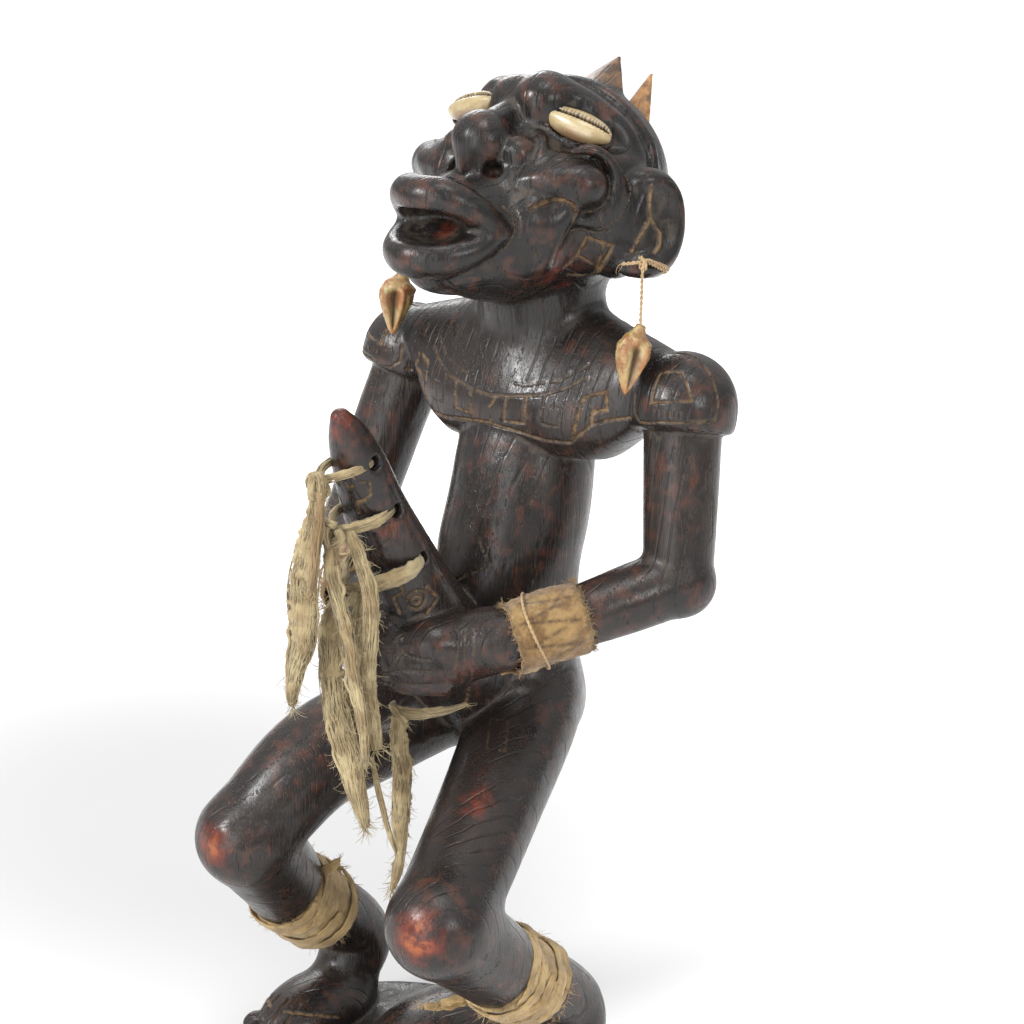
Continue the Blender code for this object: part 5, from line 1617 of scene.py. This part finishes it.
# ---------------------------------------------------------------- cloth bands
def band_mesh(key, rng, folds):
    """A strip of cloth round a limb: outer and inner face, joined at its edges."""
    _, _, _, length, inner, wall = BANDS[key]
    n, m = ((150, 46))
    a = np.linspace(0, 2 * np.pi, n, endpoint=False)
    v = np.linspace(-1, 1, m)
    A, V = np.meshgrid(a, v)

    def waves(count, low, high):
        out = np.zeros(n)
        for k in range(low, high):
            out += rng.normal() * np.cos(k * a + rng.uniform(0, 6.28)) / math.sqrt(k)
        return out / math.sqrt(count)
    top, bottom = waves(10, 1, 26), waves(10, 1, 26)
    half = length / 2
    edge_top = half - 0.6 + np.clip(top * 0.8, -1.6, 1.0)
    edge_bottom = -half + 0.6 + np.clip(bottom * 0.8, -1.0, 1.6)
    W = edge_bottom[None, :] + (edge_top - edge_bottom)[None, :] * (V + 1) / 2
    R = folds(A, W / half)
    R = inner + 0.45 + np.clip(R, 0.05, 3.4)
    edge = 1 - np.exp(-((1 - np.abs(V)) / 0.08))
    R = inner + 0.45 + (R - inner - 0.45) * (0.45 + 0.55 * edge)
    Ri = np.maximum(inner + 0.08, R - 0.75)
    outer = np.stack([R * np.cos(A), R * np.sin(A), W], -1)
    innerp = np.stack([Ri * np.cos(A), Ri * np.sin(A), W], -1)
    rings = np.concatenate([outer, innerp[::-1]])
    centre, turn = band_frame(key)
    t = np.array(turn)
    world = rings @ t.T + np.array(centre)
    idx = np.arange(2 * m * n).reshape(2 * m, n)
    i, j = np.meshgrid(np.arange(2 * m), np.arange(n), indexing="ij")
    i2, j2 = (i + 1) % (2 * m), (j + 1) % n
    quads = np.stack([idx[i, j], idx[i, j2], idx[i2, j2], idx[i2, j]], -1).reshape(-1, 4)
    mesh = fill_mesh(key, world.reshape(-1, 3), quads)
    return mesh, A, V, R, W, t, np.array(centre), (edge_top, edge_bottom)


def band_point(key, angle, radius, along):
    centre, turn = band_frame(key)
    t = np.array(turn)
    p = np.stack([radius * np.cos(angle), radius * np.sin(angle), np.broadcast_to(along, np.shape(angle))], -1)
    return p @ t.T + np.array(centre)


def build_wrist_bands(bark, string_mat):
    for s, side in ((1, "left"), (-1, "right")):
        key = f"{side}_wrist_band"
        rng = np.random.default_rng(60 + s)
        ph = rng.uniform(0, 6.28, 12)

        def folds(A, w):
            out = 0.75 + 0.28 * np.sin(3 * A + 2.2 * w + ph[0]) + 0.22 * np.sin(5 * A - 3.0 * w + ph[1])
            out += 0.20 * np.abs(np.sin(7 * A + 5 * w + ph[2])) + 0.12 * np.sin(13 * A + 8 * w + ph[3])
            out += 0.35 * np.clip(np.sin(A + ph[4]) - 0.4, 0, 1) * 2
            out += 0.22 * np.exp(-((w + 0.45 + 0.12 * np.sin(2 * A + ph[5])) / 0.12) ** 2)
            out += 0.18 * np.exp(-((w - 0.62 + 0.10 * np.sin(3 * A + ph[6])) / 0.10) ** 2)
            out += 0.16 * np.sin(21 * A + 9 * w + ph[8]) * np.sin(17 * w + 6 * A + ph[9])
            return out * 1.25
        mesh, A, V, R, W, t, centre, edges = band_mesh(key, rng, folds)
        zig = np.abs(((A / (2 * np.pi) * 9) % 1.0) * 2 - 1)
        w = W / 13.0
        stripe = np.exp(-((w - (zig - 0.5) * 1.3) / 0.21) ** 2)
        border = np.exp(-((np.abs(w) - 0.86) / 0.05) ** 2) * 0.6
        stain = np.maximum(stripe, border)
        set_attribute(mesh, "stain", np.concatenate([stain.ravel(), stain[::-1].ravel() * 0.2]))
        band = put(f"{side}_wrist_cloth", mesh, bark)
        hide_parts(key)
        fray = Bundle()
        a = rng.uniform(0, 2 * np.pi, 300)
        for end, k in ((1, 0), (-1, 1)):
            along = np.interp(a, np.linspace(0, 2 * np.pi, len(edges[k])), edges[k])
            at = band_point(key, a, 11.6 + 0.5 * rng.random(300), along - end * 0.3)
            axis = t[:, 2] * end
            away = at - (centre + t[:, 2] * np.mean(along))
            away /= np.linalg.norm(away, axis=1)[:, None]
            hairs(fray, rng, at, axis, 280, 2.7, 0.10, 0.45, 0.15)
        # fuzz over the surface
        a = rng.uniform(0, 2 * np.pi, 200)
        at = band_point(key, a, 12.0, rng.uniform(-12, 12, 200))
        away = at - (centre + ((at - centre) @ t[:, 2])[:, None] * t[:, 2])
        away /= np.linalg.norm(away, axis=1)[:, None]
        for k in range(200):
            hairs(fray, rng, at[k:k + 1], [away[k] * 0.5], 2, 2.2, 0.08, 0.7, 0.1)
        if s > 0:   # a torn corner at the hand's end, on top
            base = band_point(key, np.array([-1.9, -1.7, -1.5]), 12.0, 12.5)
            strip(fray, rng, [tuple(base[1]), tuple(base[1] + t[:, 2] * 3 + (0, 0, 1.5)),
                              tuple(base[1] + t[:, 2] * 6 + (0, 0, 0.5))], [4.0, 4.4, 1.5], 1.0,
                  (0.2, -0.6, 0.8), sides=12)
        frayed = put(f"{side}_wrist_fringe", fray, bark)
        # a thin cord that binds the cloth near the hand
        bind = Bundle()
        a = np.linspace(0.0, 2 * np.pi * 1.05, 60)
        along = 4.4 + 2.2 * np.sin(a + 1.0) + 0.8 * np.sin(2 * a)
        twisted(bind, rng, band_point(key, a, 12.9 + 0.25 * np.sin(3 * a), along), 0.5)
        binding = put(f"{side}_wrist_binding", bind, string_mat)


def build_leg_bands(cloth):
    for s, side in ((1, "left"), (-1, "right")):
        key = f"{side}_leg_band"
        rng = np.random.default_rng(80 + s)
        ph = rng.uniform(0, 6.28, 12)

        def folds(A, w):
            out = 0.55 + 0.22 * np.sin(2 * A + ph[0]) + 0.15 * np.sin(5 * A + 2 * w + ph[1])
            # the cloth goes round three times, each turn slanting over the last
            for k, place in enumerate((-0.62, -0.02, 0.55)):
                slope = 0.16 * np.sin(A + ph[2] + 0.9 * k) + 0.05 * np.sin(3 * A + ph[3 + k])
                d = w - place - slope
                out += 0.75 / (1 + np.exp(d * 26)) * np.exp(-np.clip(-d, 0, 9) * 2.4)
            out += 0.16 * np.abs(np.sin(9 * A + 9 * w + ph[7])) + 0.10 * np.sin(17 * A - 6 * w)
            out += 0.7 * np.clip(-w - 0.55, 0, 1) + 0.35 * np.clip(w - 0.7, 0, 1)
            return out
        mesh, A, V, R, W, t, centre, edges = band_mesh(key, rng, folds)
        set_attribute(mesh, "fibre", np.concatenate([(W * 1.0).ravel(), W[::-1].ravel()]))
        set_attribute(mesh, "along", np.concatenate([(A * 14).ravel(), (A * 14).ravel()]))
        set_attribute(mesh, "stain", np.zeros(2 * A.size))
        band = put(f"{side}_leg_cloth", mesh, cloth)
        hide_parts(key)
        fray = Bundle()
        for end, k in ((1, 0), (-1, 1)):
            a = rng.uniform(0, 2 * np.pi, 320)
            along = np.interp(a, np.linspace(0, 2 * np.pi, len(edges[k])), edges[k])
            at = band_point(key, a, 14.9 + 0.6 * rng.random(320), along - end * 0.4)
            hairs(fray, rng, at, [t[:, 2] * end], 170, 3.0, 0.10, 0.55, 0.25)
        a = rng.uniform(0, 2 * np.pi, 160)
        at = band_point(key, a, 15.3, rng.uniform(-9, 9, 160))
        axis_part = ((at - centre) @ t[:, 2])[:, None] * t[:, 2]
        away = at - centre - axis_part
        away /= np.linalg.norm(away, axis=1)[:, None]
        for k in range(160):
            hairs(fray, rng, at[k:k + 1], [away[k] * 0.5 + np.cross(t[:, 2], away[k]) * 0.8], 1,
                  3.0, 0.08, 0.35, 0.3)
        turns = Bundle()
        for k in range(9):
            first, sweep = rng.uniform(0, 2 * np.pi), rng.uniform(2.6, 5.6)
            angle = np.linspace(first, first + sweep, 12)
            start = -10.6 + 2.55 * k
            run = start + rng.uniform(-3.2, 3.2) * np.linspace(-0.5, 0.5, 12) \
                + 0.7 * np.sin(angle * 2 + k)
            route = band_point(key, angle, 15.0 + rng.uniform(0.0, 0.9), np.clip(run, -12, 12))
            inner = band_point(key, angle, 1.0, np.clip(run, -12, 12))
            wide = rng.uniform(3.4, 6.2) * np.interp(np.linspace(0, 1, 12), [0, 0.12, 0.85, 1],
                                                     [0.4, 1, 1, 0.3])
            knots = np.column_stack([route, wide, route - inner])
            path = even(spline_points(knots, 8), 0.9)
            p, w, tt, sd, up = strip(turns, rng, route, wide, 1.1,
                                     _facing_for(path, route, route - inner), sides=18,
                                     step=0.9, rough_edge=0.34)
            hairs(turns, rng, p, tt * 0.6 + up * 0.35 + sd * rng.choice((-0.6, 0.6)), 34, 3.4,
                  0.09, 0.45, 0.2)
            hairs(turns, rng, p[-5:], tt[-5:] + up[-5:] * 0.4, 12, 5.0, 0.11, 0.35, 0.2)
        wraps = put(f"{side}_leg_wraps", turns, cloth)
        if s > 0:
            ends = [[(30.0, -56.5, 54.0), (26.5, -61.0, 52.4), (22.6, -64.0, 51.4),
                     (18.8, -66.0, 50.8)],
                    [(31.0, -55.5, 56.0), (28.0, -61.0, 54.6), (24.4, -64.6, 53.4)]]
            for line in ends:
                strip(fray, rng, line, np.linspace(4.6, 3.0, len(line)), 1.4, (0, -0.5, 0.86),
                      sides=14)
            hairs(fray, rng, [ends[0][-1], ends[0][-2], ends[1][-1]], [(-0.75, -0.4, -0.1)],
                  46, 4.2, 0.13, 0.32, 0.2)
        else:
            end = [(-44.0, -50.0, 74.5), (-40.5, -49.0, 77.5), (-38.6, -47.0, 80.0)]
            strip(fray, rng, end, [4.0, 3.4, 1.6], 1.1, (0.7, -0.5, 0.3), sides=12)
            hairs(fray, rng, [end[-1], end[-2]], [(0.35, 0.1, 0.8)], 18, 3.4, 0.12, 0.3, 0.1)
        frayed = put(f"{side}_leg_fringe", fray, cloth)


# ---------------------------------------------------------------- studio
def build_stage():
    bpy.ops.mesh.primitive_plane_add(size=16.0, location=(0, 0, 0))
    floor = bpy.context.object
    floor.name = "floor"
    n = Nodes("pale_floor")
    cloud = n.noise(n.place(), 900.0, 2.0, 0.5)
    pale = n.mix(cloud, (0.93, 0.93, 0.93), (0.96, 0.96, 0.96))
    # a painted shadow: a soft grey pool in the floor's colour beside the figure's right foot
    off = n.vector("SUBTRACT", n.coords, (-230.0, 60.0, 0.0))
    painted_shadow_pool = n.step(n.vector("LENGTH", off), 60.0, 480.0, 1.0, 0.0)
    n.done(n.mix(n.math("MULTIPLY", painted_shadow_pool, 0.75), pale, (0.28, 0.28, 0.282)), 0.65,
           Specular_IOR_Level=0.15)
    floor.data.materials.append(n.material)
    world = bpy.data.worlds.new("studio")
    SCENE.world = world
    world.use_nodes = True
    tree = world.node_tree
    back = tree.nodes["Background"]
    coords = tree.nodes.new("ShaderNodeTexCoord")
    split = tree.nodes.new("ShaderNodeSeparateXYZ")
    ramp = tree.nodes.new("ShaderNodeMapRange")
    for socket, value in zip(list(ramp.inputs)[1:5], (-0.1, 1.0, 0.26, 1.50)):
        socket.default_value = value
    tree.links.new(coords.outputs["Generated"], split.inputs[0])
    tree.links.new(split.outputs["Z"], ramp.inputs[0])
    tree.links.new(ramp.outputs[0], back.inputs["Strength"])
    back.inputs["Color"].default_value = (1.0, 1.0, 1.0, 1.0)
    for name, place, size, power in (
            ("key", (-0.55, -1.55, 1.15), 0.45, 28.0), ("side", (1.75, -0.65, 0.95), 0.6, 10.0),
            ("front", (0.25, -1.9, 0.55), 1.1, 13.0), ("top", (0.35, -0.35, 1.9), 0.7, 9.0), ("rim", (-1.3, 1.1, 1.1), 0.7, 9.0)):
        data = bpy.data.lights.new(name, "AREA")
        data.energy, data.size = power, size
        lamp = bpy.data.objects.new(name, data)
        SCENE.collection.objects.link(lamp)
        lamp.location = place
        aim = Vector((0, -0.02, 0.18)) - Vector(place)
        lamp.rotation_euler = aim.to_track_quat("-Z", "Y").to_euler()
    SCENE.view_settings.view_transform = "Standard"
    SCENE.view_settings.look = "None"
    SCENE.view_settings.exposure = 0.0


def build_all():
    build_camera()
    fibre = fibre_material("straw_fibre", (0.33, 0.265, 0.145), (0.215, 0.155, 0.076),
                           (0.055, 0.037, 0.020), 0.66)
    brown = fibre_material("brown_fibre", (0.25, 0.175, 0.085), (0.18, 0.118, 0.055),
                           (0.07, 0.044, 0.022), 0.55)
    string = fibre_material("string_fibre", (0.42, 0.29, 0.15), (0.34, 0.22, 0.11),
                            (0.14, 0.085, 0.045), 0.4)
    cloth = fibre_material("tan_fibre_cloth", (0.40, 0.275, 0.120), (0.25, 0.165, 0.070),
                           (0.060, 0.040, 0.021), 0.65)
    build_strands(fibre, brown)
    build_pendants(shell_material(), string)
    build_eyes(cowrie_material())
    build_figure(wood_material())
    build_wrist_bands(bark_material(), string)
    build_leg_bands(cloth)
    build_stage()


build_all()
